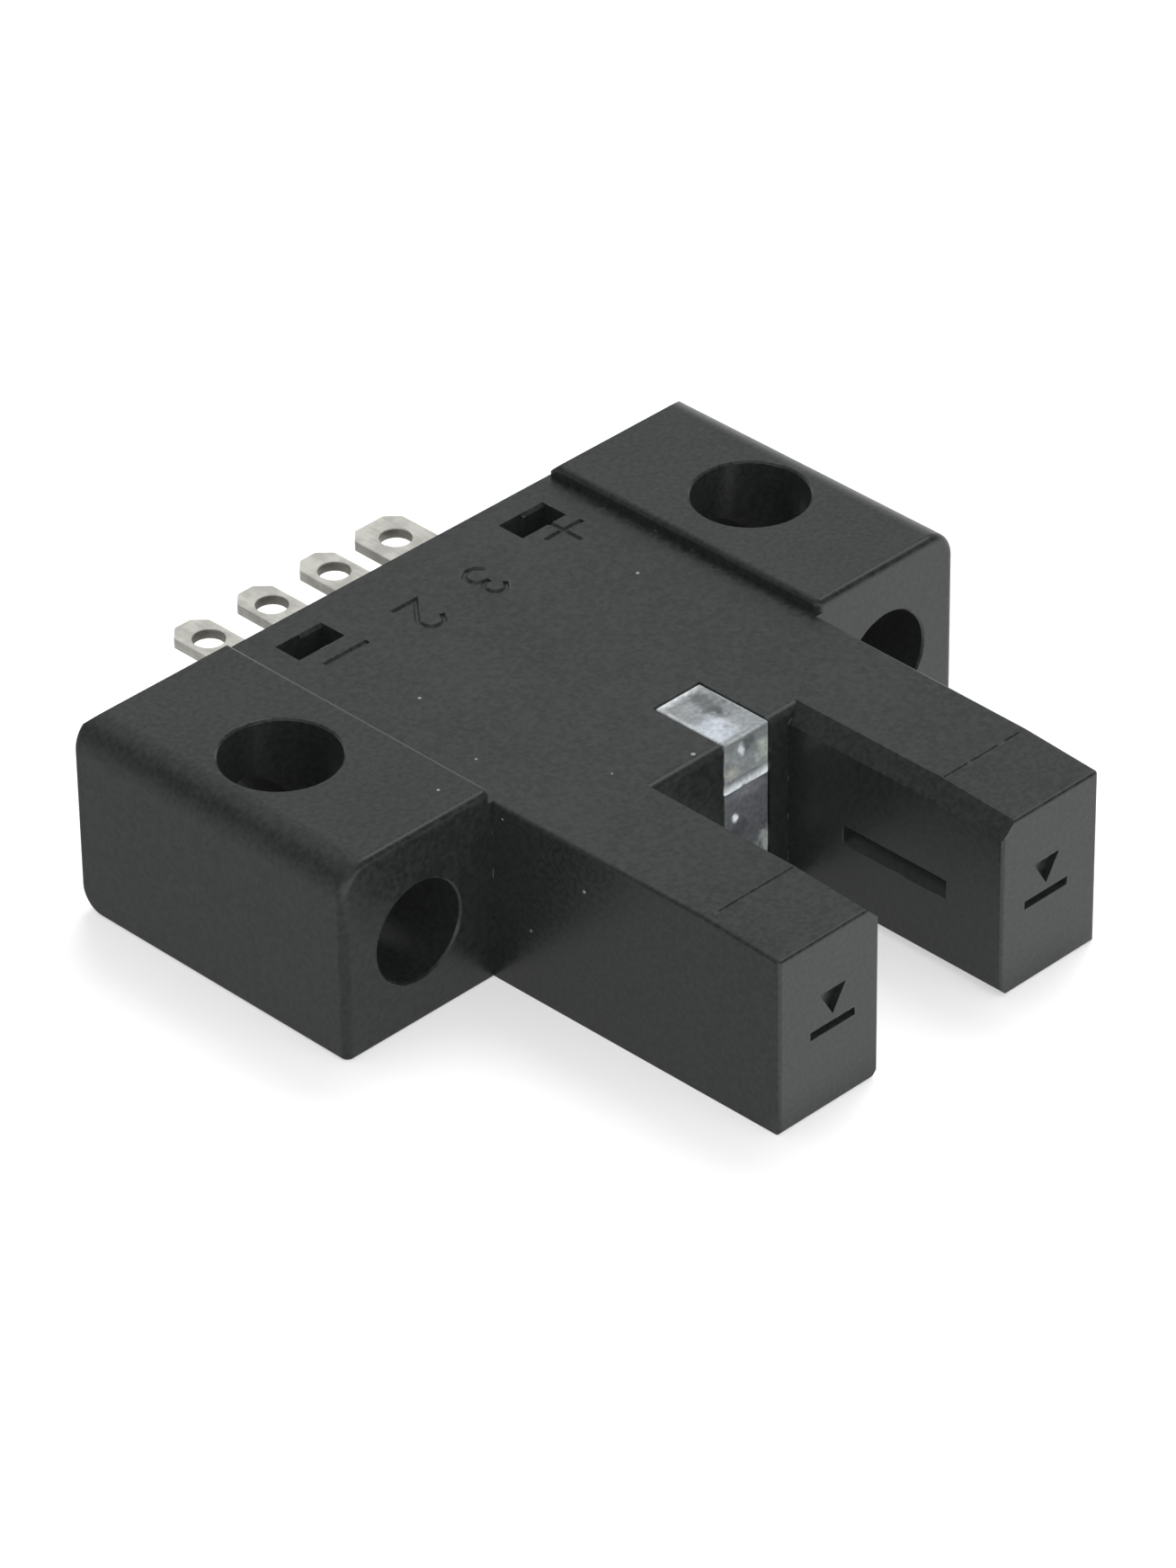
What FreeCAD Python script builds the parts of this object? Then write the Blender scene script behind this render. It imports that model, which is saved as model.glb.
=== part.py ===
import FreeCAD, Part
import math
import os
import re
import Sketcher
from FreeCAD import Vector

# Fork photoelectric sensor, in millimetres. A moulded case with two mounting ears carries a fork;
# an infrared beam crosses its slot. X runs across the ears, the fork points to -Y, the terminals
# to +Y and Z is up. The origin is midway between the two vertical mounting holes, on the underside.

# Driving dimensions: name, value, meaning.
SIZES = [
    ("ear_margin", "2.9", "middle of a mounting hole to the outer side of its ear"),
    ("body_depth", "11.0", "depth of the ears, front to back"),
    ("case_length", "22.0", "back face to fork tips"),
    ("case_height", "6.0", "height of the middle of the case and of the arms"),
    ("ear_rise", "0.42", "how far the ears stand above the middle"),
    ("fork_width", "13.2", "width over both arms at their root"),
    ("arm_lean", "0.13", "how far each arm's outer side leans in by the tip"),
    ("ramp_length", "2.8", "length of the lowered top at each tip"),
    ("ramp_drop", "0.15", "how far the top falls by the tip"),
    ("slot_width", "5.0", "gap between the arms"),
    ("slot_depth", "8.25", "depth of the gap from the tips"),
    ("slot_bevel", "0.5", "bevel along the top of the slot"),
    ("foot_bevel", "0.3", "bevel along the bottom of the slot"),
    ("root_round", "0.3", "round on the top edge of the slot's end wall"),
    ("ear_round", "1.0", "round along the outer top of each ear"),
    ("back_round", "0.8", "round along the bottom of the back face"),
    ("step_round", "0.18", "round at the head of the step to each ear"),
    ("front_round", "0.25", "round up the front corners of the ears and along their tops"),
    ("edge_round", "0.12", "round on the other outer edges"),
    ("rear_bevel", "0.32", "bevel along the back of each ear's top"),
    ("hole_pitch", "19.0", "distance between the mounting holes"),
    ("mount_hole", "3.6", "diameter of the vertical mounting holes"),
    ("cross_hole", "3.2", "diameter of the front-to-back mounting holes"),
    ("cross_height", "3.05", "height of the front-to-back holes"),
    ("rim_break", "0.06", "broken edge at the mouth of each mounting hole"),
    ("lock_length", "1.8", "length of the connector lock pockets, across the case"),
    ("lock_breadth", "1.0", "breadth of the lock pockets, front to back"),
    ("lock_depth", "1.2", "depth of the lock pockets"),
    ("lock_spacing", "9.0", "distance between the lock pockets"),
    ("lock_inset", "1.42", "back face to the middle of a lock pocket"),
    ("lock_catch", "0.1", "how far the catch stands into a lock pocket"),
    ("wall", "0.8", "thickness of the side, tip and slot walls"),
    ("roof", "0.9", "thickness of the top"),
    ("back_wall", "1.1", "thickness of the wall round the terminal block"),
    ("ledge", "0.35", "width of the step that the cover seats on"),
    ("cover_thickness", "0.8", "thickness of the base cover"),
    ("cover_bevel", "0.1", "bevel round the cover's outer face"),
    ("clearance", "0.05", "gap left round each inserted piece"),
    ("post", "1.2", "diameter of the posts above and below the board"),
    ("post_inset", "0.7", "board's front and side edges to the front posts"),
    ("terminal_spacing", "2.54", "distance between terminals"),
    ("terminal_height", "3.25", "height of the middle of the terminals"),
    ("terminal_thickness", "0.35", "thickness of the terminals"),
    ("terminal_width", "1.45", "width of three of the terminals"),
    ("plus_width", "2.0", "width of the supply terminal"),
    ("terminal_reach", "4.9", "how far the terminals stand out of the back face"),
    ("terminal_corner", "0.42", "chamfer on the corners of a terminal's end"),
    ("terminal_hole", "1.0", "diameter of the hole in each terminal"),
    ("terminal_inset", "1.15", "terminal's end to the middle of its hole"),
    ("tail_width", "0.9", "width of a terminal's tail on the board"),
    ("tail_length", "2.1", "length of a terminal's tail on the board"),
    ("holder_depth", "1.5", "depth of the terminal block's flange"),
    ("holder_rim", "0.3", "how far the flange stands out round the nose"),
    ("nose_height", "1.7", "height of the terminal block's nose"),
    ("nose_margin", "0.35", "nose beside the outer terminals"),
    ("guide_width", "1.8", "width of the light guide"),
    ("guide_shift", "0.8", "how far the light guide is off the middle"),
    ("guide_length", "2.75", "length of the light guide's top"),
    ("guide_plate", "1.6", "thickness of the light guide's top"),
    ("guide_leg", "0.95", "thickness of the light guide's front"),
    ("guide_sill", "1.2", "height at which the light guide's front ends"),
    ("lug_gap", "0.15", "air between the indicator and the light guide's lug"),
    ("beam_height", "2.72", "height of the beam"),
    ("beam_inset", "4.1", "fork tips to the beam"),
    ("slit_length", "4.0", "length of the slit in front of each window"),
    ("slit_height", "0.65", "height of the slit in the slot's side wall"),
    ("slit_rise", "0.45", "how far the slit's floor climbs on its way in"),
    ("window_lap", "0.5", "how far a window reaches past its slit"),
    ("window_seat", "0.3", "depth of the recess that a window sits in"),
    ("window_thickness", "0.6", "thickness of a window"),
    ("optic_length", "4.0", "length of the emitter and receiver packages"),
    ("optic_height", "3.0", "height of the emitter and receiver packages"),
    ("optic_gap", "0.17", "air between a package and the arm's outer wall"),
    ("lens_space", "1.15", "arm's inner wall to the face of a package"),
    ("lens_size", "2.4", "diameter of a package's lens"),
    ("lens_height", "0.45", "height of a package's lens"),
    ("lens_round", "0.38", "round on the lens"),
    ("lead_width", "0.6", "width of a package's leads"),
    ("lead_thickness", "0.25", "thickness of a package's leads"),
    ("lead_reach", "1.2", "length of a lead off the board, and again along it"),
    ("board_thickness", "0.8", "thickness of the circuit board"),
    ("board_gap", "0.22", "air round the circuit board"),
    ("front_row", "0.85", "board's front edge to the front row of components"),
    ("chip_length", "1.6", "length of the resistors and the indicator"),
    ("chip_width", "0.8", "width of the resistors and the indicator"),
    ("chip_height", "0.5", "height of the resistors"),
    ("chip_cap", "0.3", "length of a chip's end caps"),
    ("cap_lip", "0.03", "how far an end cap stands proud"),
    ("indicator_height", "0.6", "height of the indicator"),
    ("capacitor_length", "2.0", "length of the supply capacitor"),
    ("capacitor_width", "1.25", "width of the supply capacitor"),
    ("capacitor_height", "1.0", "height of the supply capacitor"),
    ("amplifier_size", "2.8", "side of the amplifier's square body"),
    ("amplifier_height", "1.1", "height of the amplifier"),
    ("amplifier_pitch", "0.65", "distance between the amplifier's leads"),
    ("amplifier_lead", "0.25", "width of the amplifier's leads"),
    ("transistor_length", "2.9", "length of the transistor's body"),
    ("transistor_width", "1.3", "width of the transistor's body"),
    ("transistor_height", "1.0", "height of the transistor"),
    ("transistor_lead", "0.4", "width of the transistor's leads"),
    ("diode_length", "2.2", "length of the diode's body"),
    ("diode_width", "1.4", "width of the diode's body"),
    ("diode_height", "1.0", "height of the diode"),
    ("diode_lead", "1.0", "width of the diode's leads"),
    ("foot_reach", "0.4", "how far a component's leads reach past its body"),
    ("foot_thickness", "0.15", "thickness of a component's leads"),
    ("resistor_inset", "0.75", "board's side to the resistors beside the amplifier"),
    ("resistor_offset", "0.07", "middle row to the near end of each of these resistors"),
    ("amplifier_shift", "1.6", "middle to the amplifier"),
    ("transistor_shift", "1.75", "middle to the transistor"),
    ("diode_inset", "1.1", "board's side to the diode"),
    ("capacitor_shift", "1.5", "middle to the supply capacitor"),
    ("base_shift", "0.17", "indicator's end to the base resistor's"),
]

doc = FreeCAD.newDocument("ForkSensor")
sheet = doc.addObject("Spreadsheet::Sheet", "Sizes")
for row, (alias, value, meaning) in enumerate(SIZES, 1):
    sheet.set("A%d" % row, alias)
    sheet.set("B%d" % row, value)
    sheet.setAlias("B%d" % row, alias)
    sheet.set("C%d" % row, meaning)
doc.recompute()


def size(alias):
    """The value of one driving dimension."""
    return float(sheet.get(alias))


def bound(formula):
    """A formula in plain dimension names, as an expression on the sheet."""
    return re.sub(r"\b([a-z][a-z_]+)\b", r"Sizes.\1", str(formula))


def minus(formula):
    return "(-(%s))" % formula


# Places that many pieces share, as formulas.
BACK = "(body_depth / 2)"
FRONT = "(-body_depth / 2)"
TIP = "(body_depth / 2 - case_length)"
ROOT = "(body_depth / 2 - case_length + slot_depth)"
EAR_TOP = "(case_height + ear_rise)"
EAR_SIDE = "(hole_pitch / 2 + ear_margin)"
TIP_SIDE = "(fork_width / 2 - arm_lean)"
SLOT_SIDE = "(slot_width / 2)"
CEILING = "(case_height - roof)"
CAVITY_SIDE = "(fork_width / 2 - arm_lean - wall)"
CAVITY_ROOT = "(%s + wall)" % ROOT
CAVITY_TIP = "(%s + wall)" % TIP
ARM_INNER = "(slot_width / 2 + wall)"
CHAMBER_BACK = "(body_depth / 2 - back_wall)"
CAVITY_BACK = "(body_depth / 2 - back_wall - holder_depth)"
NOSE_SIDE = "(1.5 * terminal_spacing + plus_width / 2 + nose_margin)"
NOSE_LOW = "(terminal_height - nose_height / 2)"
NOSE_HIGH = "(terminal_height + nose_height / 2)"
BEAM_Y = "(body_depth / 2 - case_length + beam_inset)"
OPTIC_FACE = "(slot_width / 2 + wall + lens_space)"
OPTIC_BACK = "(%s - optic_gap)" % CAVITY_SIDE
OPTIC_END = "(%s + optic_length / 2)" % BEAM_Y
OPTIC_LOW = "(beam_height - optic_height / 2)"
OPTIC_HIGH = "(beam_height + optic_height / 2)"
BOARD_TOP = "(terminal_height - terminal_thickness / 2)"
BOARD_LOW = "(%s - board_thickness)" % BOARD_TOP
BOARD_SIDE = "(%s - board_gap)" % CAVITY_SIDE
BOARD_BACK = "(%s - board_gap)" % CAVITY_BACK
BOARD_FRONT = "(%s + guide_leg + board_gap)" % ROOT
TAIL_FRONT = "(%s - tail_length)" % BOARD_BACK
FRONT_ROW = "(%s + front_row)" % BOARD_FRONT
MIDDLE_ROW = "((%s + %s) / 2)" % (FRONT_ROW, TAIL_FRONT)
CHIP_SIDE = "(chip_length / 2 + cap_lip)"

# Where the posts stand, above and below the board.
POSTS = [
    ("terminal_spacing", "(%s + tail_length / 2)" % TAIL_FRONT),
    (minus("terminal_spacing"), "(%s + tail_length / 2)" % TAIL_FRONT),
    ("(%s - post_inset)" % BOARD_SIDE, "(%s + post_inset)" % BOARD_FRONT),
    (minus("%s - post_inset" % BOARD_SIDE), "(%s + post_inset)" % BOARD_FRONT)]

# The outer places again as numbers, to find edges by.
HALF_WIDTH = size("hole_pitch") / 2 + size("ear_margin")
HALF_FORK = size("fork_width") / 2
HALF_SLOT = size("slot_width") / 2
HALF_TIP = HALF_FORK - size("arm_lean")
BACK_Y = size("body_depth") / 2
TIP_Y = BACK_Y - size("case_length")
ROOT_Y = TIP_Y + size("slot_depth")
TOP_Z = size("case_height")
EAR_Z = TOP_Z + size("ear_rise")
NEAR = 0.01


def rectangle(left, right, low, high):
    return [(left, low), (right, low), (right, high), (left, high)]


def around(x, y, width, height):
    """A rectangle about a middle point."""
    return rectangle("(%s - %s / 2)" % (x, width), "(%s + %s / 2)" % (x, width),
                     "(%s - %s / 2)" % (y, height), "(%s + %s / 2)" % (y, height))


def fork_outline(grow, back):
    """The plan of the hollow in the middle and both arms, grown outwards."""
    side, inner = "(%s + %s)" % (CAVITY_SIDE, grow), "(%s - %s)" % (ARM_INNER, grow)
    tip, root = "(%s - %s)" % (CAVITY_TIP, grow), "(%s - %s)" % (CAVITY_ROOT, grow)
    return [(side, back), (minus(side), back), (minus(side), tip), (minus(inner), tip),
            (minus(inner), root), (inner, root), (inner, tip), (side, tip)]


def dimension(sketch, kind, geometry, point, start, formula):
    """One coordinate of a sketch point, bound to the sheet."""
    index = sketch.addConstraint(Sketcher.Constraint(kind, geometry, point, start))
    sketch.setExpression("Constraints[%d]" % index, bound(formula))


def draw(body, plane, at, loops):
    """A sketch parallel to one origin plane, shifted to the given coordinate.

    A loop is a list of corners, or one (x, y, diameter) for a circle. The corners start on a
    circle, and their dimensions pull them into place.
    """
    sketch = body.newObject("Sketcher::SketchObject", body.Name + "Sketch")
    origin_plane = [item for item in body.Origin.OriginFeatures if item.Role == plane + "_Plane"][0]
    sketch.AttachmentSupport = (origin_plane, "")
    sketch.MapMode = "FlatFace"
    sketch.setExpression("AttachmentOffset.Base.z", bound(minus(at) if plane == "XZ" else at))
    for loop in loops:
        first = sketch.GeometryCount
        if isinstance(loop, tuple):
            x, y, diameter = loop
            sketch.addGeometry(Part.Circle(Vector(1, 1, 0), Vector(0, 0, 1), 1), False)
            dimension(sketch, "DistanceX", first, 3, 1, x)
            dimension(sketch, "DistanceY", first, 3, 1, y)
            index = sketch.addConstraint(Sketcher.Constraint("Diameter", first, 2))
            sketch.setExpression("Constraints[%d]" % index, bound(diameter))
            continue
        count = len(loop)
        seeds = [Vector(math.cos(2 * math.pi * k / count), math.sin(2 * math.pi * k / count), 0)
                 for k in range(count)]
        for k in range(count):
            sketch.addGeometry(Part.LineSegment(seeds[k], seeds[(k + 1) % count]), False)
        for k in range(count):
            sketch.addConstraint(Sketcher.Constraint(
                "Coincident", first + k, 2, first + (k + 1) % count, 1))
        for k, (x, y) in enumerate(loop):
            dimension(sketch, "DistanceX", first + k, 1, seeds[k].x, x)
            dimension(sketch, "DistanceY", first + k, 1, seeds[k].y, y)
    return sketch


def extrude(body, kind, plane, at, loops, length, toward):
    """A pad or pocket from a plane toward +1 or -1 along the plane's axis."""
    sketch = draw(body, plane, at, loops)
    before = body.Tip.Shape.Volume if kind == "Pocket" else 0
    feature = body.newObject("PartDesign::" + kind, body.Name + kind)
    feature.Profile = sketch
    normal = -1 if plane == "XZ" else 1
    natural = normal if kind == "Pad" else -normal
    feature.Reversed = toward != natural
    feature.setExpression("Length", bound(length))
    doc.recompute()
    if kind == "Pocket" and not feature.Shape.Volume < before:
        raise RuntimeError("%s removes nothing" % feature.Name)
    return feature


def pad(body, plane, at, loops, length, toward=1):
    return extrude(body, "Pad", plane, at, loops, length, toward)


def pocket(body, plane, at, loops, length, toward=1):
    return extrude(body, "Pocket", plane, at, loops, length, toward)


def edges(body, along, x=None, y=None, z=None, above=None):
    """Names of the straight edges in one or two directions at the given |x|, y and z."""
    names = []
    for number, edge in enumerate(body.Tip.Shape.Edges, 1):
        box = edge.BoundBox
        spans = {"X": box.XLength, "Y": box.YLength, "Z": box.ZLength}
        if any(span > NEAR for axis, span in spans.items() if axis not in along):
            continue
        if all(spans[axis] < NEAR for axis in along):
            continue
        if above is not None and box.ZMin < above:
            continue
        middle = box.Center
        for value, wanted in ((abs(middle.x), x), (middle.y, y), (middle.z, z)):
            if wanted is not None and not any(abs(value - w) < NEAR for w in wanted):
                break
        else:
            names.append("Edge%d" % number)
    return names


def rims(body, diameter):
    """Names of the full circles of one diameter."""
    names = []
    for number, edge in enumerate(body.Tip.Shape.Edges, 1):
        if edge.Degenerated or not isinstance(edge.Curve, Part.Circle):
            continue
        if abs(edge.Curve.Radius - diameter / 2) < NEAR:
            if abs(edge.Length - math.pi * diameter) < NEAR:
                names.append("Edge%d" % number)
    return names


def soften(body, kind, names, amount):
    """A fillet or chamfer on named edges of the body as it stands."""
    base = body.Tip
    feature = body.newObject("PartDesign::" + kind, body.Name + kind)
    feature.Base = (base, names)
    feature.setExpression("Radius" if kind == "Fillet" else "Size", bound(amount))
    doc.recompute()
    return feature


def new_body(name):
    body = doc.addObject("PartDesign::Body", name)
    body.Label = name
    return body


def place(body, x, y, z, turn=0):
    """Sets a body that was drawn about its own origin on its place."""
    body.Placement = FreeCAD.Placement(Vector(0, 0, 0), FreeCAD.Rotation(Vector(0, 0, 1), turn))
    for axis, formula in (("x", x), ("y", y), ("z", z)):
        body.setExpression("Placement.Base." + axis, bound(formula))


def make_case():
    case = new_body("case")
    outer_form(case)
    mounting_holes(case)
    hollow(case)
    openings(case)
    supports(case)
    return case


def outer_form(case):
    """The outside: a T of two ears and the middle, with the fork's arms."""
    fork = "(fork_width / 2)"
    pad(case, "XY", "0", [[
        (EAR_SIDE, BACK), (minus(EAR_SIDE), BACK), (minus(EAR_SIDE), FRONT), (minus(fork), FRONT),
        (minus(TIP_SIDE), TIP), (minus(SLOT_SIDE), TIP), (minus(SLOT_SIDE), ROOT),
        (SLOT_SIDE, ROOT), (SLOT_SIDE, TIP), (TIP_SIDE, TIP), (fork, FRONT), (EAR_SIDE, FRONT)]],
        EAR_TOP)
    # The middle and the arms are lower than the ears.
    past_back, past_tip = BACK + " + clearance", TIP + " - clearance"
    past_half = "(%s + clearance)" % EAR_SIDE
    pocket(case, "XY", "case_height", [[
        (minus(fork), past_back), (fork, past_back), (fork, FRONT), (past_half, FRONT),
        (past_half, past_tip), (minus(past_half), past_tip), (minus(past_half), FRONT),
        (minus(fork), FRONT)]], "ear_rise + clearance")
    # The top falls towards each tip.
    pocket(case, "YZ", "-fork_width / 2", [[
        (TIP, "case_height - ramp_drop"), (TIP + " + ramp_length", "case_height"),
        (TIP, "case_height")]], "fork_width")
    soften(case, "Fillet", edges(case, "Y", x=[HALF_WIDTH], z=[EAR_Z]), "ear_round")
    soften(case, "Fillet", edges(case, "X", y=[BACK_Y], z=[0]), "back_round")
    soften(case, "Fillet", edges(case, "Y", x=[HALF_FORK], z=[EAR_Z]), "step_round")
    soften(case, "Chamfer", edges(case, "YZ", x=[HALF_SLOT], above=TOP_Z / 2), "slot_bevel")
    soften(case, "Fillet", edges(case, "X", y=[ROOT_Y], z=[TOP_Z]), "root_round")
    soften(case, "Fillet", edges(case, "Z", x=[HALF_WIDTH], y=[-BACK_Y]), "front_round")
    corners = edges(case, "Z", x=[HALF_WIDTH], y=[BACK_Y])
    corners += edges(case, "Z", x=[HALF_TIP, HALF_SLOT], y=[TIP_Y])
    feet = edges(case, "X", y=[-BACK_Y, TIP_Y], z=[0]) + edges(case, "Y", x=[HALF_WIDTH], z=[0])
    soften(case, "Fillet", corners + feet, "edge_round")
    soften(case, "Fillet", edges(case, "X", y=[TIP_Y], above=TOP_Z / 2), "edge_round")
    # Each ear's top is bevelled at the back.
    past_top = EAR_TOP + " + clearance"
    pocket(case, "YZ", minus(past_half), [[
        (BACK + " - rear_bevel - clearance", past_top), (past_back, past_top),
        (past_back, EAR_TOP + " - rear_bevel - clearance")]], "2 * " + past_half)
    # The slot's lower edges are bevelled from the tips to its end wall.
    near, far = "(%s - clearance)" % SLOT_SIDE, "(%s + foot_bevel + clearance)" % SLOT_SIDE
    high = "foot_bevel + clearance"
    pocket(case, "XZ", past_tip, [
        [(near, "-clearance"), (far, "-clearance"), (near, high)],
        [(minus(near), "-clearance"), (minus(near), high), (minus(far), "-clearance")]],
        "slot_depth + clearance")


def mounting_holes(case):
    """Two vertical holes, and two from front to back that cross them."""
    for plane, low, high, height, diameter in (
            ("XY", "0", EAR_TOP, "0", "mount_hole"),
            ("XZ", FRONT, BACK, "cross_height", "cross_hole")):
        sides = [(x, height, diameter) for x in ("(hole_pitch / 2)", "(-hole_pitch / 2)")]
        pocket(case, plane, low, sides, "%s - %s" % (high, low))
        # The mouths are tapered cuts, as deep as they are wide.
        mouths = [(x, height, diameter + " + 2 * rim_break") for x, height, diameter in sides]
        for face, inwards in ((low, 1), (high, -1)):
            mouth = pocket(case, plane, face, mouths, "rim_break", inwards)
            mouth.TaperAngle = -45


def hollow(case):
    """The space for the electronics, open below, with a ledge for the cover."""
    pocket(case, "XY", "0", [fork_outline("0", CAVITY_BACK)], CEILING)
    pocket(case, "XY", "0", [fork_outline("ledge", CHAMBER_BACK)], "cover_thickness")
    # The recess for the terminal block has a lower ceiling.
    side = "(%s + holder_rim + clearance)" % NOSE_SIDE
    pocket(case, "XY", "0", [rectangle(minus(side), side, CAVITY_BACK + " - wall", CHAMBER_BACK)],
           NOSE_HIGH + " + holder_rim + clearance")


def openings(case):
    """What breaks through the walls: nose, lock pockets, light guide and slits."""
    side = "(%s + clearance)" % NOSE_SIDE
    pocket(case, "XZ", BACK, [rectangle(minus(side), side, NOSE_LOW + " - clearance",
                                        NOSE_HIGH + " + clearance")], "back_wall + clearance", -1)
    pocket(case, "XY", "case_height", [
        around(x, BACK + " - lock_inset", "lock_length", "lock_breadth")
        for x in ("(lock_spacing / 2)", "(-lock_spacing / 2)")], "lock_depth", -1)
    # Half of each lock pocket's back wall carries a pointed catch.
    behind = "(%s - lock_inset + lock_breadth / 2)" % BACK
    catch = [(behind, "case_height"), (behind + " - lock_catch", "case_height - lock_catch"),
             (behind, "case_height - 2 * lock_catch")]
    for x in ("lock_spacing / 2", "-lock_spacing / 2"):
        pad(case, "YZ", x, [catch], "lock_length / 2")
    left = "(guide_shift - guide_width / 2 - clearance)"
    right = "(guide_shift + guide_width / 2 + clearance)"
    pocket(case, "XY", "case_height", [rectangle(
        left, right, ROOT + " - clearance", ROOT + " + guide_length + clearance")],
        "guide_plate + clearance", -1)
    pocket(case, "XZ", ROOT + " - clearance", [rectangle(left, right, "guide_sill", "case_height")],
           "guide_leg + clearance")
    # One cut makes both slits. Their floors climb from the slot to the windows.
    low, high = "(beam_height - slit_height / 2)", "(beam_height + slit_height / 2)"
    shelf = "(%s + slit_rise)" % low
    seat_face = "(%s - window_seat)" % ARM_INNER
    pocket(case, "XZ", "(%s - slit_length / 2)" % BEAM_Y, [[
        (minus(ARM_INNER), shelf), (minus(seat_face), shelf), (minus(SLOT_SIDE), low),
        (SLOT_SIDE, low), (seat_face, shelf), (ARM_INNER, shelf), (ARM_INNER, high),
        (minus(ARM_INNER), high)]], "slit_length")
    seat = around(BEAM_Y, "beam_height", "(slit_length + 2 * window_lap + 2 * clearance)",
                  "(slit_height + 2 * window_lap + 2 * clearance)")
    for direction in (1, -1):
        face = "(%d * %s)" % (direction, seat_face)
        pocket(case, "YZ", face, [seat], "window_seat + clearance", direction)


def supports(case):
    """Posts down to the board, and a block and a rib over each optical package."""
    pad(case, "XY", CEILING, [(x, y, "post") for x, y in POSTS],
        "%s - %s" % (CEILING, BOARD_TOP), -1)
    middle = "((%s + %s) / 2)" % (OPTIC_FACE, OPTIC_BACK)
    width = "(%s - %s)" % (OPTIC_BACK, OPTIC_FACE)
    centres = [middle, minus(middle)]
    pad(case, "XY", CEILING, [around(x, BEAM_Y, width, "(optic_length / 2)") for x in centres],
        "%s - %s - clearance" % (CEILING, OPTIC_HIGH), -1)


def make_light_guide():
    """Clear L: a plate flush with the top, and a front flush with the slot's end wall."""
    guide = new_body("light_guide")
    pad(guide, "YZ", "guide_shift - guide_width / 2", [[
        (ROOT, "guide_sill"), (ROOT + " + guide_leg", "guide_sill"),
        (ROOT + " + guide_leg", "case_height - guide_plate"),
        (ROOT + " + guide_length", "case_height - guide_plate"),
        (ROOT + " + guide_length", "case_height"), (ROOT, "case_height")]], "guide_width")
    # A lug reaches down to the indicator from inside the plate.
    low = "(%s + indicator_height + lug_gap)" % BOARD_TOP
    pad(guide, "XY", low, [around("guide_shift", FRONT_ROW, "(chip_length - 2 * chip_cap)",
                                  "chip_width")], "case_height - guide_plate / 2 - %s" % low)
    return guide


def make_base_cover():
    """The cover closes the case below and props up the board and the packages."""
    cover = new_body("base_cover")
    pad(cover, "XY", "0", [fork_outline("(ledge - clearance)", CHAMBER_BACK + " - clearance")],
        "cover_thickness")
    soften(cover, "Chamfer", edges(cover, "XY", z=[0]), "cover_bevel")
    pad(cover, "XY", "cover_thickness", [(x, y, "post") for x, y in POSTS],
        BOARD_LOW + " - cover_thickness")
    middle = "((%s + %s) / 2)" % (OPTIC_FACE, OPTIC_BACK)
    width = "(%s - %s)" % (OPTIC_BACK, OPTIC_FACE)
    pad(cover, "XY", "cover_thickness",
        [around(x, BEAM_Y, width, "(optic_length / 2)") for x in (middle, minus(middle))],
        OPTIC_LOW + " - cover_thickness")
    return cover


# The terminals, from -X to +X: name, place in pitches from the middle, width.
TERMINALS = [
    ("terminal_minus", -1.5, "terminal_width"),
    ("terminal_output", -0.5, "terminal_width"),
    ("terminal_light", 0.5, "terminal_width"),
    ("terminal_plus", 1.5, "plus_width")]


def make_terminal(name, pitches, width):
    """A flat blade with a hole near its end, and a narrow tail soldered to the board."""
    blade = new_body(name)
    half, tail, corner = "(%s / 2)" % width, "(tail_width / 2)", "terminal_corner"
    end = "(%s + terminal_reach)" % BACK
    shoulder = CAVITY_BACK + " + clearance"
    pad(blade, "XY", "0", [
        [(tail, TAIL_FRONT), (tail, shoulder), (half, shoulder), (half, end + " - " + corner),
         ("%s - %s" % (half, corner), end), ("%s - %s" % (corner, half), end),
         (minus(half), end + " - " + corner), (minus(half), shoulder),
         (minus(tail), shoulder), (minus(tail), TAIL_FRONT)],
        ("0", end + " - terminal_inset", "terminal_hole")], "terminal_thickness")
    place(blade, "%s * terminal_spacing" % pitches, "0", BOARD_TOP)
    return blade


def make_terminal_holder():
    """The block that the terminals pass through: a flange inside, a nose in the back wall."""
    holder = new_body("terminal_holder")
    flange = "(%s + holder_rim)" % NOSE_SIDE
    pad(holder, "XZ", CAVITY_BACK, [rectangle(minus(flange), flange, "cover_thickness",
                                              NOSE_HIGH + " + holder_rim")],
        "holder_depth - clearance")
    pad(holder, "XZ", BACK, [rectangle(minus(NOSE_SIDE), NOSE_SIDE, NOSE_LOW, NOSE_HIGH)],
        "back_wall + clearance", -1)
    slots = []
    for name, pitches, width in TERMINALS:
        slots.append(around("(%s * terminal_spacing)" % pitches, "terminal_height",
                            "(%s + 2 * clearance)" % width,
                            "(terminal_thickness + 2 * clearance)"))
    pocket(holder, "XZ", BACK, slots, "back_wall + holder_depth", -1)
    return holder


def make_board():
    """The board fills the middle and sends a tongue into each arm."""
    board = new_body("circuit_board")
    end, inner = "(%s + lead_reach)" % OPTIC_END, "(%s + board_gap)" % ARM_INNER
    pad(board, "XY", BOARD_LOW, [[
        (BOARD_SIDE, BOARD_BACK), (minus(BOARD_SIDE), BOARD_BACK), (minus(BOARD_SIDE), end),
        (minus(inner), end), (minus(inner), BOARD_FRONT), (inner, BOARD_FRONT), (inner, end),
        (BOARD_SIDE, end)]], "board_thickness")
    return board


def make_window(name, side):
    """A dark infrared filter behind a slit, seated in the arm's inner wall."""
    window = new_body(name)
    plate = around(BEAM_Y, "beam_height", "(slit_length + 2 * window_lap)",
                   "(slit_height + 2 * window_lap)")
    pad(window, "YZ", "(%d * (%s - window_seat))" % (side, ARM_INNER), [plate],
        "window_thickness", side)
    return window


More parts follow.
